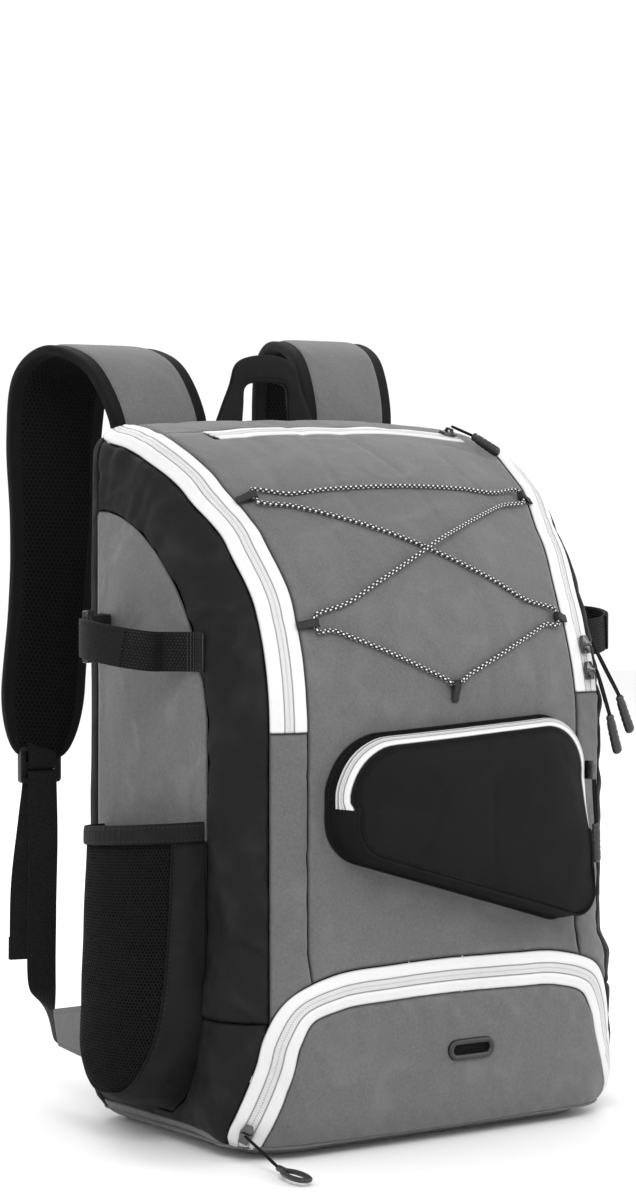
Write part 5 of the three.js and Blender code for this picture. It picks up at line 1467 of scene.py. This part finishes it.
class BACKPACK_OT_side_pockets(bpy.types.Operator):
    """Sew both side pockets: a net in a frame of cloth under a hem"""

    bl_idname = "backpack.side_pockets"
    bl_label = "Side pockets"

    def execute(self, context):
        for name, sign in SIDES:
            self.pocket(name, sign)
        return {"FINISHED"}

    def pocket(self, name, sign):
        top = HEM_SHARE - 0.003

        def crumple(angle, share, size):
            return size * noise.noise(Vector((angle * 4, share * 5, sign + 3)))

        def frame_place(a, b):
            inner, outer = MESH_EDGE.at(b), ROOT_EDGE.at(b)
            angle, share = mix(inner.x, outer.x, a) / 3, mix(inner.y, outer.y, a) * top
            distance = min(a * 40, (1 - a) * 40)
            lift = 0.7 * (1 - smooth(a, 0, 0.06)) + crumple(angle, share, 1.8) * smooth(a, 0, 0.3)
            point = side_pocket_point(sign, angle, share, lift)
            off = abs(point.x) - HALF_WIDTH - 0.8
            if off > 0:
                point.x -= sign * off * smooth(a, 0.5, 1)
            return point, angle * 150, share * 190, distance

        mesh = turned_out(laid(20, 110, frame_place))
        piece(f"pocket_frame_cloth_{name}", mesh, "black_stitched", [f"pocket_frame_{name}"],
              wall=1.3)

        def net_place(a, b):
            front, back = MESH_EDGE.at(b * 0.5), MESH_EDGE.at(1 - b * 0.5)
            angle = mix(front.x, back.x, a) / 3
            share = mix(front.y, back.y, a) * top
            if b == 0:
                share = top
            inward = -0.4 + crumple(angle, share, 1.6) * math.sin(math.pi * a)
            return side_pocket_point(sign, angle, share, inward), angle * 150, share * 190, min(
                a * 90, (1 - a) * 90, b * 150)

        piece(f"pocket_net_{name}", turned_out(laid(48, 70, net_place)), "mesh",
              [f"pocket_mesh_{name}"], wall=0.8)

        edge = [side_pocket_point(sign, place.x / 3, place.y * top, 0.4) for place in MESH_EDGE.evenly(120)]
        piece(f"pocket_net_piping_{name}", tube(edge, PIPING_RADIUS, 8), "binding")

        section = ((-1.0, 0), (-1.0, 0.35), (-1.0, 0.75), (-0.6, 0.98), (0.4, 1.0), (1.3, 0.96), (1.6, 0.7),
                   (1.5, 0.3), (1.4, 0.06), (0.4, 0.0))

        def hem_place(a, b):
            lift, up = section[round(a * len(section)) % len(section)]
            share = mix(HEM_SHARE, 1, up)
            gather = 0.35 * math.sin(b * 210) * (1 - abs(up - 0.5))
            return (side_pocket_point(sign, clamp(b, 0.001, 0.999), share, lift + gather), b * 150 + 60,
                    up * HEM_HEIGHT + (20 if lift < 0 else 0), min(up, 1 - up) * HEM_HEIGHT)

        mesh = closed_up(laid(len(section), 90, hem_place, joined=True))
        piece(f"pocket_hem_cloth_{name}", mesh, "black_stitched",
              [f"pocket_hem_{name}"])


# Side loops: the height and rise, the bow's place off the side, and how far the sewn ends stand off
LOOP_Z = 341
LOOP_RISE = 9
LOOP_OUT = 29
LOOP_MIDDLE_Y = -14
LOOP_RADIUS = 30
LOOP_LEAD = 1.35
LOOP_WEBBING = 27


class BACKPACK_OT_side_straps(bpy.types.Operator):
    """Make the strap loops above the side pockets, with their rings and tabs"""

    bl_idname = "backpack.side_straps"
    bl_label = "Side straps"

    def execute(self, context):
        for name, sign in SIDES:
            self.strap(name, sign)
        return {"FINISHED"}

    def strap(self, name, sign):
        seam_y = FRONT_Y + BAND_DEPTH + 1

        def x(distance):
            return sign * (HALF_WIDTH + distance)

        bow = []
        for i in range(9):
            angle = math.radians(mix(-115, 48, i / 8))
            bow.append(Vector((
                x(LOOP_OUT + LOOP_RADIUS * math.cos(angle)), LOOP_MIDDLE_Y + LOOP_RADIUS * math.sin(angle),
                LOOP_Z + LOOP_RISE * smooth(i / 8, 0, 0.9))))
        route = Route([
            Vector((x(LOOP_LEAD), seam_y, LOOP_Z)), Vector((x(LOOP_LEAD + 1), seam_y + 12, LOOP_Z)), *bow])
        piece(f"side_strap_webbing_{name}", band(route, LOOP_WEBBING, 2, UPRIGHT, 90), "fine_webbing",
              [f"side_strap_{name}"])

        end = bow[-1]
        tab_y = end.y + 42
        root = Vector((x(LOOP_LEAD), tab_y, LOOP_Z + LOOP_RISE))
        heading = (root - end).to_2d().normalized().to_3d()
        start = end + heading * 8.2 + heading * 8.0
        tab = Route([
            start, start.lerp(root, 0.6), Vector((x(LOOP_LEAD + 2), root.y, root.z)),
            Vector((x(LOOP_LEAD + 0.1), tab_y + 9, root.z)), Vector((x(LOOP_LEAD), tab_y + 18, root.z))])
        piece(f"side_tab_webbing_{name}", band(tab, LOOP_WEBBING, 2, UPRIGHT, 40), "fine_webbing",
              [f"side_strap_tab_{name}"])

        # The strap's end is folded back on itself and sewn down, which makes a second thickness.
        shares = [mix(0.55, 0.99, i / 10) for i in range(11)]
        patch = Route([
            route.at(share) + route.heading(share).cross(UPRIGHT) * 1.9 * sign for share in shares])
        piece(f"side_strap_fold_{name}", band(patch, 26.4, 1.6, UPRIGHT, 40), "webbing")
        piece(f"side_ring_frame_{name}", copy_of(f"side_ring_{name}", 0.9), "plastic",
              [f"side_ring_{name}"])


# Shoulder straps

STRAP_ROUTE = (
    (0.5, 0, 0.884, 78), (0.5, 0, 0.944, 81), (0.51, 0.03, 1.014, 84), (0.548, 0.26, 1.09, 85),
    (0.602, 0.64, 1.112, 83), (0.645, 0.91, 1.076, 79), (0.662, 0.985, 0.984, 74), (0.672, 0.96, 0.863, 69),
    (0.69, 0.965, 0.743, 67), (0.73, 0.955, 0.622, 68), (0.762, 0.94, 0.52, 66))
STRAP_END_Z = 246
STRAP_REACH = 112
RIGHT_OUT = 4
RIGHT_UP = 9
STRAP_BOUND = 0.74
STRAP_BINDING = 9.0
STRAP_PINNED = 10
STRAP_THICK = 12
STRAP_SEAT_Y = BACK_Y + BACK_PAD_OUT + SEAT + 6.5


def strap_points(sign):
    """The strap's route. The right one stands a little higher and further out over the shoulder."""
    points = []
    for out, behind, up, _ in STRAP_ROUTE:
        over = smooth(up, 0.9, 1.06) if sign > 0 else 0.0
        points.append(Vector((
            sign * (out * HALF_WIDTH + RIGHT_OUT * over), STRAP_SEAT_Y + behind * STRAP_REACH,
            up * RIDGE_Z + RIGHT_UP * over)))
    return points


class BACKPACK_OT_shoulder_straps(bpy.types.Operator):
    """Pad and bind both shoulder straps"""

    bl_idname = "backpack.shoulder_straps"
    bl_label = "Shoulder straps"

    def execute(self, context):
        looks = context.scene.backpack_cloth
        for name, sign in SIDES:
            points = strap_points(sign)
            points[-1].z = STRAP_END_Z
            route = Route(points)
            widths = [(row[3],) for row in STRAP_ROUTE]

            def width(share):
                return table_at(widths, share)[0] * (0.34 + 0.66 * rounding((1 - share) / 0.12))

            def thickness(share):
                return STRAP_THICK * (0.45 + 0.55 * clamp(min(share, 1 - share) * 20))

            def wide(share):
                return Vector((1, sign * 0.12 * share, 0))

            made = piece(f"shoulder_pad_{name}", self.strap(route, width, thickness, wide),
                         ("grey_stitched", "binding", "strap_mesh"),
                         [f"shoulder_strap_{name}"])
            seam = made.data.attributes["seam"].data
            pinned = [index for index, distance in enumerate(seam) if distance.value < STRAP_PINNED]
            swell(made, pinned, looks.pad_swell / MM)
            softened(made)
        return {"FINISHED"}

    def strap(self, route, width, thickness, wide):
        """A closed pad: grey outside, net inside, and a bound edge that stands a little proud."""
        spread = (0, 0.22, 0.44, 0.62, 0.73, 0.745, 0.82, 0.92, 0.98)
        top = [(u, 1) for u in spread] + [(1.0, 0.5)]
        right = top + [(1.0, -0.5)] + [(u, -1) for u in reversed(spread[1:])]
        left = [(-u, n) for u, n in reversed(right[1:])]
        ring = right + [(0, -1)] + left
        sides = len(ring)

        def point(a, b):
            u, n = ring[round(a * sides) % sides]
            centre, across, out = strap_frame(route, b, wide)
            half, thick = width(b) / 2, thickness(b) / 2
            crown = 0.64 + 0.1 * (1 - abs(u)) if abs(u) > STRAP_BOUND else 1 - 0.42 * abs(u) ** 3.5
            if abs(u) > 0.98:
                crown *= 0.72
            end = smooth(1 - b, 0, 0.02)
            lift = n * thick * crown * (0.6 + 0.4 * end)
            along = b * route.length + (0 if n > 0 else 900)
            return centre + across * u * half + out * lift, u * half, along, (1 - abs(u)) * 36

        mesh = closed_up(laid(sides, 84, point, joined=True))
        cloth = mesh.loops.layers.uv["Cloth"]
        seam = mesh.verts.layers.float["seam"]
        for face in mesh.faces:
            edge = min(vert[seam] for vert in face.verts)
            under = min(loop[cloth].uv.y for loop in face.loops) > 0.88
            face.material_index = 1 if edge < STRAP_BINDING else (2 if under else 0)
        return mesh


ADJUSTER_HALF = 14
ADJUSTER_SLOT = (28 - 12) / 2 + 0.4


class BACKPACK_OT_webbing(bpy.types.Operator):
    """Thread the webbing through both adjusters and sew its tabs"""

    bl_idname = "backpack.webbing"
    bl_label = "Strap webbing"

    def execute(self, context):
        for name, sign in SIDES:
            end = strap_points(sign)[-1]
            plate_z = end.z - 1 - ADJUSTER_HALF
            slot_z = plate_z - (2 + ADJUSTER_SLOT / 2 - 0.2)
            bar_z = plate_z - ADJUSTER_HALF
            clear = 2.5 + 0.9 + 1

            def at(dy, z, dx=0):
                return Vector((end.x + sign * dx, end.y + dy, z))

            def twist(share):
                return Vector((0.12 * sign, 0, 1)).lerp(Vector((sign, 0, 0)), smooth(share, 0.05, 0.24))

            route = Route([
                *(Vector((sign * x, y, z)) for x, y, z in (
                    (145.5, 148, 53), (143.5, 168, 53), (140, 182, 56), (134, 204, 74))),
                at(-clear - 4, 130, 3), at(-clear - 3, 190, 1), at(-clear, bar_z), at(-clear, bar_z + 4),
                at(1 - clear, slot_z - 0.3), at(0, slot_z + 1), at(clear - 1, slot_z - 0.3),
                at(clear, bar_z + 4), at(clear, bar_z), at(clear + 7, bar_z - 30), at(clear + 18, 150),
                Vector((sign * 128, 243, 93))])
            piece(f"webbing_{name}", band(route, 25, 1.8, twist, 220, 14), "webbing",
                  [f"strap_webbing_{name}"])
            hem = Route([route.at(mix(0.955, 0.999, i / 6)) + Vector((0, 1.9, 0)) for i in range(7)])
            piece(f"webbing_hem_{name}", band(hem, 24.6, 1.7, ACROSS, 12, 14), "webbing")
            # The strap's end tab goes over the adjuster's face, round its middle bar and back up.
            over = Route([
                at(-0.6, end.z + 6), at(-2.2, end.z + 1), at(-3.8, end.z - 6), at(-3.8, plate_z + 2),
                at(-3.0, plate_z - 2.2), at(0, plate_z - 3.6), at(3.0, plate_z - 2.2), at(3.8, plate_z + 2),
                at(3.8, end.z - 6), at(2.2, end.z + 1), at(0.6, end.z + 6)])
            piece(f"end_tab_webbing_{name}", band(over, 24, 1.5, ACROSS, 60, 14), "webbing")
            piece(f"adjuster_frame_{name}", copy_of(f"strap_adjuster_{name}", 0.9), "plastic",
                  [f"strap_adjuster_{name}"])
            root, tip = Vector((sign * 149.5, 97.5, 57)), Vector((sign * 144, 165, 53))
            tab = Route([root, root.lerp(tip, 0.5), tip])
            lean = Vector((0.12 * sign, 0, 1))
            mesh = band(tab, lambda b: mix(46, 28, b), lambda b: mix(2.6, 3.8, b), lean, 36, 18)
            piece(f"strap_tab_cloth_{name}", mesh, "tab", [f"strap_tab_{name}"])
        return {"FINISHED"}


class BACKPACK_OT_back(bpy.types.Operator):
    """Pad the back with sewn channels"""

    bl_idname = "backpack.back"
    bl_label = "Back pad"

    def execute(self, context):
        looks = context.scene.backpack_cloth
        def half_at(z):
            near = min(z - BACK_PAD_LOW_Z, BACK_PAD_TOP_Z - z)
            if near >= BACK_PAD_CORNER:
                return BACK_PAD_HALF_WIDTH
            side = BACK_PAD_CORNER - near
            return BACK_PAD_HALF_WIDTH - BACK_PAD_CORNER + math.sqrt(max(BACK_PAD_CORNER ** 2 - side ** 2, 0))

        def groove(x, z):
            """How deep a sewn channel lies here, from 0 on a pad to 1 in a channel."""
            spine = 1 - smooth(abs(abs(x) - SPINE_X), 0, 5)
            cross = max(1 - smooth(abs(z - level), 0, 5) for level in GROOVES_Z) * smooth(abs(x), 10, 15)
            rim = 1 - smooth(abs(edge_of(x, z) - RIM_IN), 0, 4)
            inside = smooth(edge_of(x, z), 12, 18)
            return max(spine * inside, cross * inside, rim)

        def edge_of(x, z):
            return max(min(half_at(z) - abs(x), z - BACK_PAD_LOW_Z, BACK_PAD_TOP_Z - z), 0)

        def place(a, b):
            z = mix(BACK_PAD_LOW_Z, BACK_PAD_TOP_Z, b)
            x = (2 * a - 1) * half_at(z)
            edge = edge_of(x, z)
            y = BACK_Y - 1.0 + (BACK_PAD_OUT + 1.0) * rounding(edge / 7)
            y -= GROOVE_DEPTH * groove(x, z) * clamp(edge / 7)
            return Vector((x, y, z)), x, z, edge

        made = piece("back_pad", turned_out(laid(84, 130, place)), "pad_mesh", ["back_panel"])
        pinned = []
        for vert in made.data.vertices:
            x, z = vert.co.x / MM, vert.co.z / MM
            if max(groove(x, z), 1 - smooth(edge_of(x, z), 7, 9)) > 0.35:
                pinned.append(vert.index)
        swell(made, pinned, looks.pad_swell / MM * 1.4)
        walled(made, 1.5)
        return {"FINISHED"}


HAUL_HEIGHT = 83


class BACKPACK_OT_haul_loop(bpy.types.Operator):
    """Fold and sew the haul loop"""

    bl_idname = "backpack.haul_loop"
    bl_label = "Haul loop"

    def execute(self, context):
        low, top = BACK_PAD_TOP_Z + 1, BACK_PAD_TOP_Z + HAUL_HEIGHT
        outer, inner = (
            Route([(-x, z, 0) for x, z in half] + [(x, z, 0) for x, z in reversed(half)]) for half in (
                ((57, low), (45, low + 30), (32, top - 22), (26, top - 6), (12, top)),
                ((24, low), (22, low + 20), (20, low + 42), (19, low + 57), (15, low + 61))))
        section = ((0, 0.4), (0.06, 1), (0.3, 1.15), (0.5, 1.2), (0.7, 1.15), (0.94, 1), (1, 0.4),
                   (1, -0.4), (0.94, -1), (0.7, -1.1), (0.5, -1.1), (0.3, -1.1), (0.06, -1), (0, -0.4))

        def place(a, b):
            share, n = section[round(a * len(section)) % len(section)]
            one, two = outer.at(b), inner.at(b)
            flat = one.lerp(two, share)
            width = (one - two).length
            pleat = 0.5 * noise.noise(Vector((flat.x / 12, flat.y / 22, 2)))
            y = BACK_Y + 3 + n * 2.2 + pleat
            distance = min(share, 1 - share) * width
            across = share * width + (60 if n < 0 else 0)
            return Vector((flat.x, y, flat.y)), across, b * outer.length, distance

        mesh = closed_up(laid(len(section), 90, place, joined=True))
        piece("haul_loop_cloth", mesh, "black_stitched", ["haul_loop"])
        return {"FINISHED"}


# Lacing

CORD_RADIUS = 1.5
CORD_LOW_V = 306
CORD_LEVELS = (("middle", 357), ("top", 442))
LOOP_REACH = 13
LOOP_WIDTH = 6
FOLD_HEIGHT = 6.8


def lacing_anchors():
    """Where the cord turns in each loop and where the loop is sewn, as v and q."""
    anchors = {"bottom": (CORD_LOW_V + LOOP_REACH - 3, 0.0, CORD_LOW_V, 0.0)}
    for level, z in CORD_LEVELS:
        v = shoulder_v(z)
        half = flat_half(v) - 0.4
        for name, sign in SIDES:
            anchors[f"{level}_{name}"] = (v, sign * (half - LOOP_REACH + 3), v, sign * half)
    return anchors


class BACKPACK_OT_lacing(bpy.types.Operator):
    """Lace the elastic cord through its five loops"""

    bl_idname = "backpack.lacing"
    bl_label = "Lacing"

    def execute(self, context):
        anchors = lacing_anchors()
        for name, anchor in anchors.items():
            self.loop(name, anchor)
        self.cord([anchors[name] for name in (
            "bottom", "middle_left", "top_right", "top_left", "middle_right")])
        return {"FINISHED"}

    def loop(self, name, anchor):
        v, q, edge_v, edge_q = anchor
        inward = Vector((q - edge_q, v - edge_v)).normalized()
        sideways = Vector((-inward.y, inward.x))
        radius = FOLD_HEIGHT / 2 - 0.5
        centre = LOOP_REACH - FOLD_HEIGHT / 2
        line = [(-2.5, 0.5), (2, 0.5), (5, 0.5)]
        for i in range(9):
            angle = -QUARTER + i / 8 * math.pi
            line.append((centre + radius * math.cos(angle), FOLD_HEIGHT / 2 + radius * math.sin(angle)))
        line += [(5.5, FOLD_HEIGHT - 1.6), (2, 2.4), (-2.5, 1.7)]

        def place(a, b):
            reach, height = line[round(b * (len(line) - 1))]
            side = (2 * a - 1) * LOOP_WIDTH / 2
            spot = Vector((edge_q, edge_v)) + inward * reach + sideways * side
            return cloth_skin(spot.y, spot.x, SEAT + height), side + 3, b * 30, min(a, 1 - a) * LOOP_WIDTH

        mesh = laid(6, len(line) - 1, place)
        piece(f"lace_loop_{name}", mesh, "cord_loop", [f"cord_loop_{name}"],
              wall=1.0, soften=True)

    def cord(self, anchors):
        points = []
        count = len(anchors)
        exit_reach = LOOP_WIDTH * 0.5 + CORD_RADIUS
        at_loop, on_panel = SEAT + FOLD_HEIGHT / 2, SEAT + CORD_RADIUS + 0.3
        for i, (v, q, edge_v, edge_q) in enumerate(anchors):
            before, after = anchors[i - 1], anchors[(i + 1) % count]
            here = Vector((q, v))
            out_to = Vector((after[1], after[0])) - here
            in_from = Vector((before[1], before[0])) - here
            inward = (here - Vector((edge_q, edge_v))).normalized()
            sideways = Vector((-inward.y, inward.x))
            comes, goes = in_from.dot(sideways), out_to.dot(sideways)
            side = math.copysign(1, comes) if abs(comes) > abs(goes) else -math.copysign(1, goes)
            for reach, pulled in ((1.3, 1.6), (0.8, 0.2), (0, 0), (-0.8, 0.2), (-1.3, 1.6)):
                spot = here + sideways * side * reach * exit_reach + inward * pulled
                points.append(cloth_skin(spot.y, spot.x, at_loop))
            over = 4 if i == 1 else 0
            for share in (0.12, 0.24, 0.38, 0.47, 0.53, 0.62, 0.76, 0.88):
                spot = here + out_to * share
                rise = over if 0.4 < share < 0.6 else over * 0.4 * (1 - abs(share - 0.5) * 2)
                points.append(cloth_skin(spot.y, spot.x, on_panel + rise))
        line = Route(points, spans=12, closed=True).evenly(900)
        piece("lacing_cord", tube(line, CORD_RADIUS, 10, closed=True), "cord", ["shock_cord"])


# Zip pulls

SLIDER_TOP = SEAT + 3 + 5


class BACKPACK_OT_pulls(bpy.types.Operator):
    """Hang a cord and a moulded grip on every zip slider"""

    bl_idname = "backpack.pulls"
    bl_label = "Zip pulls"

    def execute(self, context):
        tape = TAPE_WIDTH / 2
        shoe = SHOE_HALF.at(0.055)
        right = TAPE_END_RIGHT
        top_v = TOP_ZIP_LOW_V + TOP_ZIP_WIDTH / 2
        pulls = {
            "main_upper": (skin(right + 34, flat_half(right + 34) + tape, SLIDER_TOP),
                           (158, -118, 303), (171, -116, 276)),
            "main_lower": (skin(right + 15, flat_half(right + 15) + tape, SLIDER_TOP),
                           (144, -124, 290), (153, -123, 262)),
            "top": (skin(top_v, TOP_ZIP_RIGHT - 6.5, SLIDER_TOP),
                    skin(TOP_ZIP_LOW_V - 3, TOP_ZIP_RIGHT + 6, 6),
                    skin(TOP_ZIP_LOW_V - 30, TOP_ZIP_RIGHT + 11, 6)),
            "shoe": (skin(shoe.y, -shoe.x, SLIDER_TOP - 0.5), (-161, -150, 5), (-165, -186, 4.2)),
        }
        low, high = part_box("slider_pocket")
        middle = (low + high) / 2 / MM
        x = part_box("pull_pocket")[0].x / MM + 1.2
        pulls["pocket"] = (Vector((x, middle.y, middle.z)), Vector((x + 2.5, middle.y, middle.z - 38)),
                           Vector((x + 2.5, middle.y, middle.z - 66)))
        for name, (start, grip_top, grip_end) in pulls.items():
            self.pull(name, Vector(start), Vector(grip_top), Vector(grip_end))
            piece(f"slider_body_{name}", copy_of(f"slider_{name}", 0.35), "metal",
                  [f"slider_{name}"])
        return {"FINISHED"}

    def pull(self, name, start, grip_top, grip_end):
        heading = (grip_end - grip_top).normalized()
        side = heading.cross(Vector((0.3, -0.8, 0.5))).normalized()
        turn = start.lerp(grip_top, 0.3)
        half = ((grip_top + heading * 4, 0.9), (grip_top, 1.1), (start.lerp(grip_top, 0.55), 1.5),
                (turn, 1.4))
        strands = [spot + side * off for spot, off in half] + [start]
        strands += [spot - side * off for spot, off in reversed(half)]
        piece(f"pull_cord_{name}", tube(Route(strands).evenly(60), 0.95, 8), "binding")
        if name == "shoe":
            self.eye(name, grip_top, grip_end)
            return

        def radius(share):
            ends = math.sqrt(max(1 - (2 * clamp(share, 0.01, 0.99) - 1) ** 18, 0.02))
            ridge = 0.22 * math.sin(share * 2 * math.pi * 7) * smooth(share, 0.25, 0.4)
            ridge *= smooth(1 - share, 0.15, 0.3)
            collar = 0.5 * (1 - smooth(abs(share - 0.14), 0.02, 0.05))
            return (3.4 + 0.6 * share + ridge - collar) * ends

        grip = Route([grip_top, grip_top.lerp(grip_end, 0.5) + side * 0.6, grip_end]).evenly(26)
        piece(f"pull_grip_{name}", tube(grip, radius, 12, flat=0.72), "plastic",
              [f"pull_{name}"])

    @staticmethod
    def eye(name, near, far):
        """The shoe zip's grip is a flat moulded eye with a stem."""
        heading = (far - near).normalized()
        side = heading.cross(UPRIGHT).normalized()
        length = (far - near).length
        loop = Route([
            near + heading * length * along + side * across
            for along, across in ((0.16, 0), (0.3, 3.6), (0.55, 5.4), (0.8, 4.9), (0.97, 2.8), (1.0, 0),
                                  (0.97, -2.8), (0.8, -4.9), (0.55, -5.4), (0.3, -3.6))], closed=True)
        mesh = tube(loop.evenly(90), 1.75, 12, closed=True, flat=1.15)
        piece(f"pull_eye_{name}", mesh, "plastic", [f"pull_{name}"])
        stem = [near.lerp(far, share) for share in (-0.06, 0.0, 0.06, 0.12, 0.18, 0.22)]
        piece(f"pull_stem_{name}", tube(stem, 2.3, 12, flat=0.9), "plastic")


# Stage, in metres: each light's name, place, size and power

FLOOR_RADIUS = 6
LIT_POINT = Vector((0, 0, 0.25))
LIGHTS = (("Key", (-1.5, -2.6, 2.6), 1.8, 70), ("Fill", (2.6, -1.8, 1.6), 2.0, 34),
          ("Back", (0.4, 2.4, 2.4), 1.8, 40))
LENS = 93.3
CAMERA_PLACE = (-1.3124, -1.82, 0.4418)
CAMERA_TURN = 35.29
CAMERA_PITCH = 1.79


class BACKPACK_OT_stage(bpy.types.Operator):
    """Set the floor, the lights and the camera"""

    bl_idname = "backpack.stage"
    bl_label = "Stage"

    def execute(self, context):
        looks = context.scene.backpack_colours
        mesh = bmesh.new()
        bmesh.ops.create_circle(mesh, cap_ends=True, radius=FLOOR_RADIUS, segments=96)
        data = bpy.data.meshes.new("floor")
        mesh.to_mesh(data)
        mesh.free()
        floor = bpy.data.objects.new("floor", data)
        context.scene.collection.objects.link(floor)
        f = Finish("pale_floor", {"Roughness": 0.55, "Specular IOR Level": 0.2})
        wear = f.noise(f.place(), 3.0)
        colour = tuple(looks.floor)
        data.materials.append(f.surface(f.blend(wear * 0.3, colour, shade(colour, 0.97))))

        world = bpy.data.worlds.new("Studio")
        world.use_nodes = True
        backdrop = world.node_tree.nodes["Background"].inputs
        backdrop["Color"].default_value = (1, 1, 1, 1)
        backdrop["Strength"].default_value = 1.03
        context.scene.world = world
        context.scene.view_settings.view_transform = "Standard"
        for light in LIGHTS:
            self.light(*light)
        self.camera(context)
        return {"FINISHED"}

    def light(self, name, place, size, power):
        lamp = bpy.data.lights.new(name, "AREA")
        lamp.size = size
        lamp.energy = power
        made = bpy.data.objects.new(name, lamp)
        made.location = place
        made.rotation_euler = (LIT_POINT - Vector(place)).to_track_quat("-Z", "Y").to_euler()
        bpy.context.scene.collection.objects.link(made)

    def camera(self, context):
        lens = bpy.data.cameras.new("Camera")
        lens.lens = LENS
        lens.sensor_width = 36
        made = bpy.data.objects.new("Camera", lens)
        turn, pitch = math.radians(CAMERA_TURN), math.radians(CAMERA_PITCH)
        ahead = Vector((math.sin(turn) * math.cos(pitch), math.cos(turn) * math.cos(pitch), -math.sin(pitch)))
        made.location = CAMERA_PLACE
        made.rotation_euler = ahead.to_track_quat("-Z", "Y").to_euler()
        context.scene.collection.objects.link(made)
        context.scene.camera = made


# Settings

def length(name, description, default):
    """A length in metres."""
    return bpy.props.FloatProperty(
        name=name, description=description, default=default, unit="LENGTH", precision=5)


def colour(name, description, *rgb):
    """A colour without transparency."""
    return bpy.props.FloatVectorProperty(
        name=name, description=description, subtype="COLOR", size=4, default=(*rgb, 1))


class BackpackCloth(bpy.types.PropertyGroup):
    """How the cloth lies and how finely it is woven and sewn."""

    fold_depth: length("Fold depth", "Depth of the folds in the stuffed cloth", 0.001)
    seam_tuck: length("Seam tuck", "How far a sewn edge turns in", 0.0016)
    weave_pitch: length("Weave pitch", "Distance between two yarns", 0.0008)
    stitch_length: length("Stitch length", "Length of one stitch and its gap", 0.0032)
    coil_pitch: length("Coil pitch", "Distance between two turns of a zip's coil", 0.0019)
    pad_swell: length("Pad swell", "How far a filled pad may swell", 0.002)


class BackpackColours(bpy.types.PropertyGroup):
    """The colours of the backpack's finishes."""

    grey: colour("Grey cloth", "Main cloth", 0.1, 0.1, 0.1)
    black: colour("Black cloth", "Side and pocket cloth", 0.0085, 0.0085, 0.0085)
    white: colour("Zip tape", "White zip tape", 0.6, 0.6, 0.6)
    webbing: colour("Webbing", "Straps and bindings", 0.008, 0.008, 0.0083)
    mesh: colour("Net", "Side pocket net and back pads", 0.0045, 0.0045, 0.0045)
    plastic: colour("Plastic", "Rings, adjusters and grips", 0.008, 0.008, 0.008)
    metal: colour("Sliders", "Painted metal of the zip sliders", 0.1, 0.1, 0.1)
    floor: colour("Floor", "The pale floor", 0.9, 0.9, 0.9)


OPERATORS = (
    BACKPACK_OT_front, BACKPACK_OT_sides, BACKPACK_OT_base, BACKPACK_OT_zips, BACKPACK_OT_vent,
    BACKPACK_OT_front_pocket, BACKPACK_OT_side_pockets, BACKPACK_OT_side_straps, BACKPACK_OT_shoulder_straps,
    BACKPACK_OT_webbing, BACKPACK_OT_back, BACKPACK_OT_haul_loop, BACKPACK_OT_lacing, BACKPACK_OT_pulls,
    BACKPACK_OT_stage)


class BACKPACK_PT_panel(bpy.types.Panel):
    """Lists the settings and the operators of the backpack."""

    bl_idname = "BACKPACK_PT_panel"
    bl_label = "Backpack"
    bl_space_type = "VIEW_3D"
    bl_region_type = "UI"
    bl_category = "Backpack"

    def draw(self, context):
        for settings in (context.scene.backpack_cloth, context.scene.backpack_colours):
            box = self.layout.box()
            for name in settings.bl_rna.properties.keys():
                if name not in ("rna_type", "name"):
                    box.prop(settings, name)
        for operator in OPERATORS:
            self.layout.operator(operator.bl_idname)


CLASSES = (BackpackCloth, BackpackColours, *OPERATORS, BACKPACK_PT_panel)


def register():
    for one in CLASSES:
        bpy.utils.register_class(one)
    bpy.types.Scene.backpack_cloth = bpy.props.PointerProperty(type=BackpackCloth)
    bpy.types.Scene.backpack_colours = bpy.props.PointerProperty(type=BackpackColours)


def unregister():
    del bpy.types.Scene.backpack_colours
    del bpy.types.Scene.backpack_cloth
    for one in reversed(CLASSES):
        bpy.utils.unregister_class(one)


def main():
    register()
    for operator in OPERATORS:
        group, call = operator.bl_idname.split(".")
        getattr(getattr(bpy.ops, group), call)()


if __name__ == "__main__":
    main()
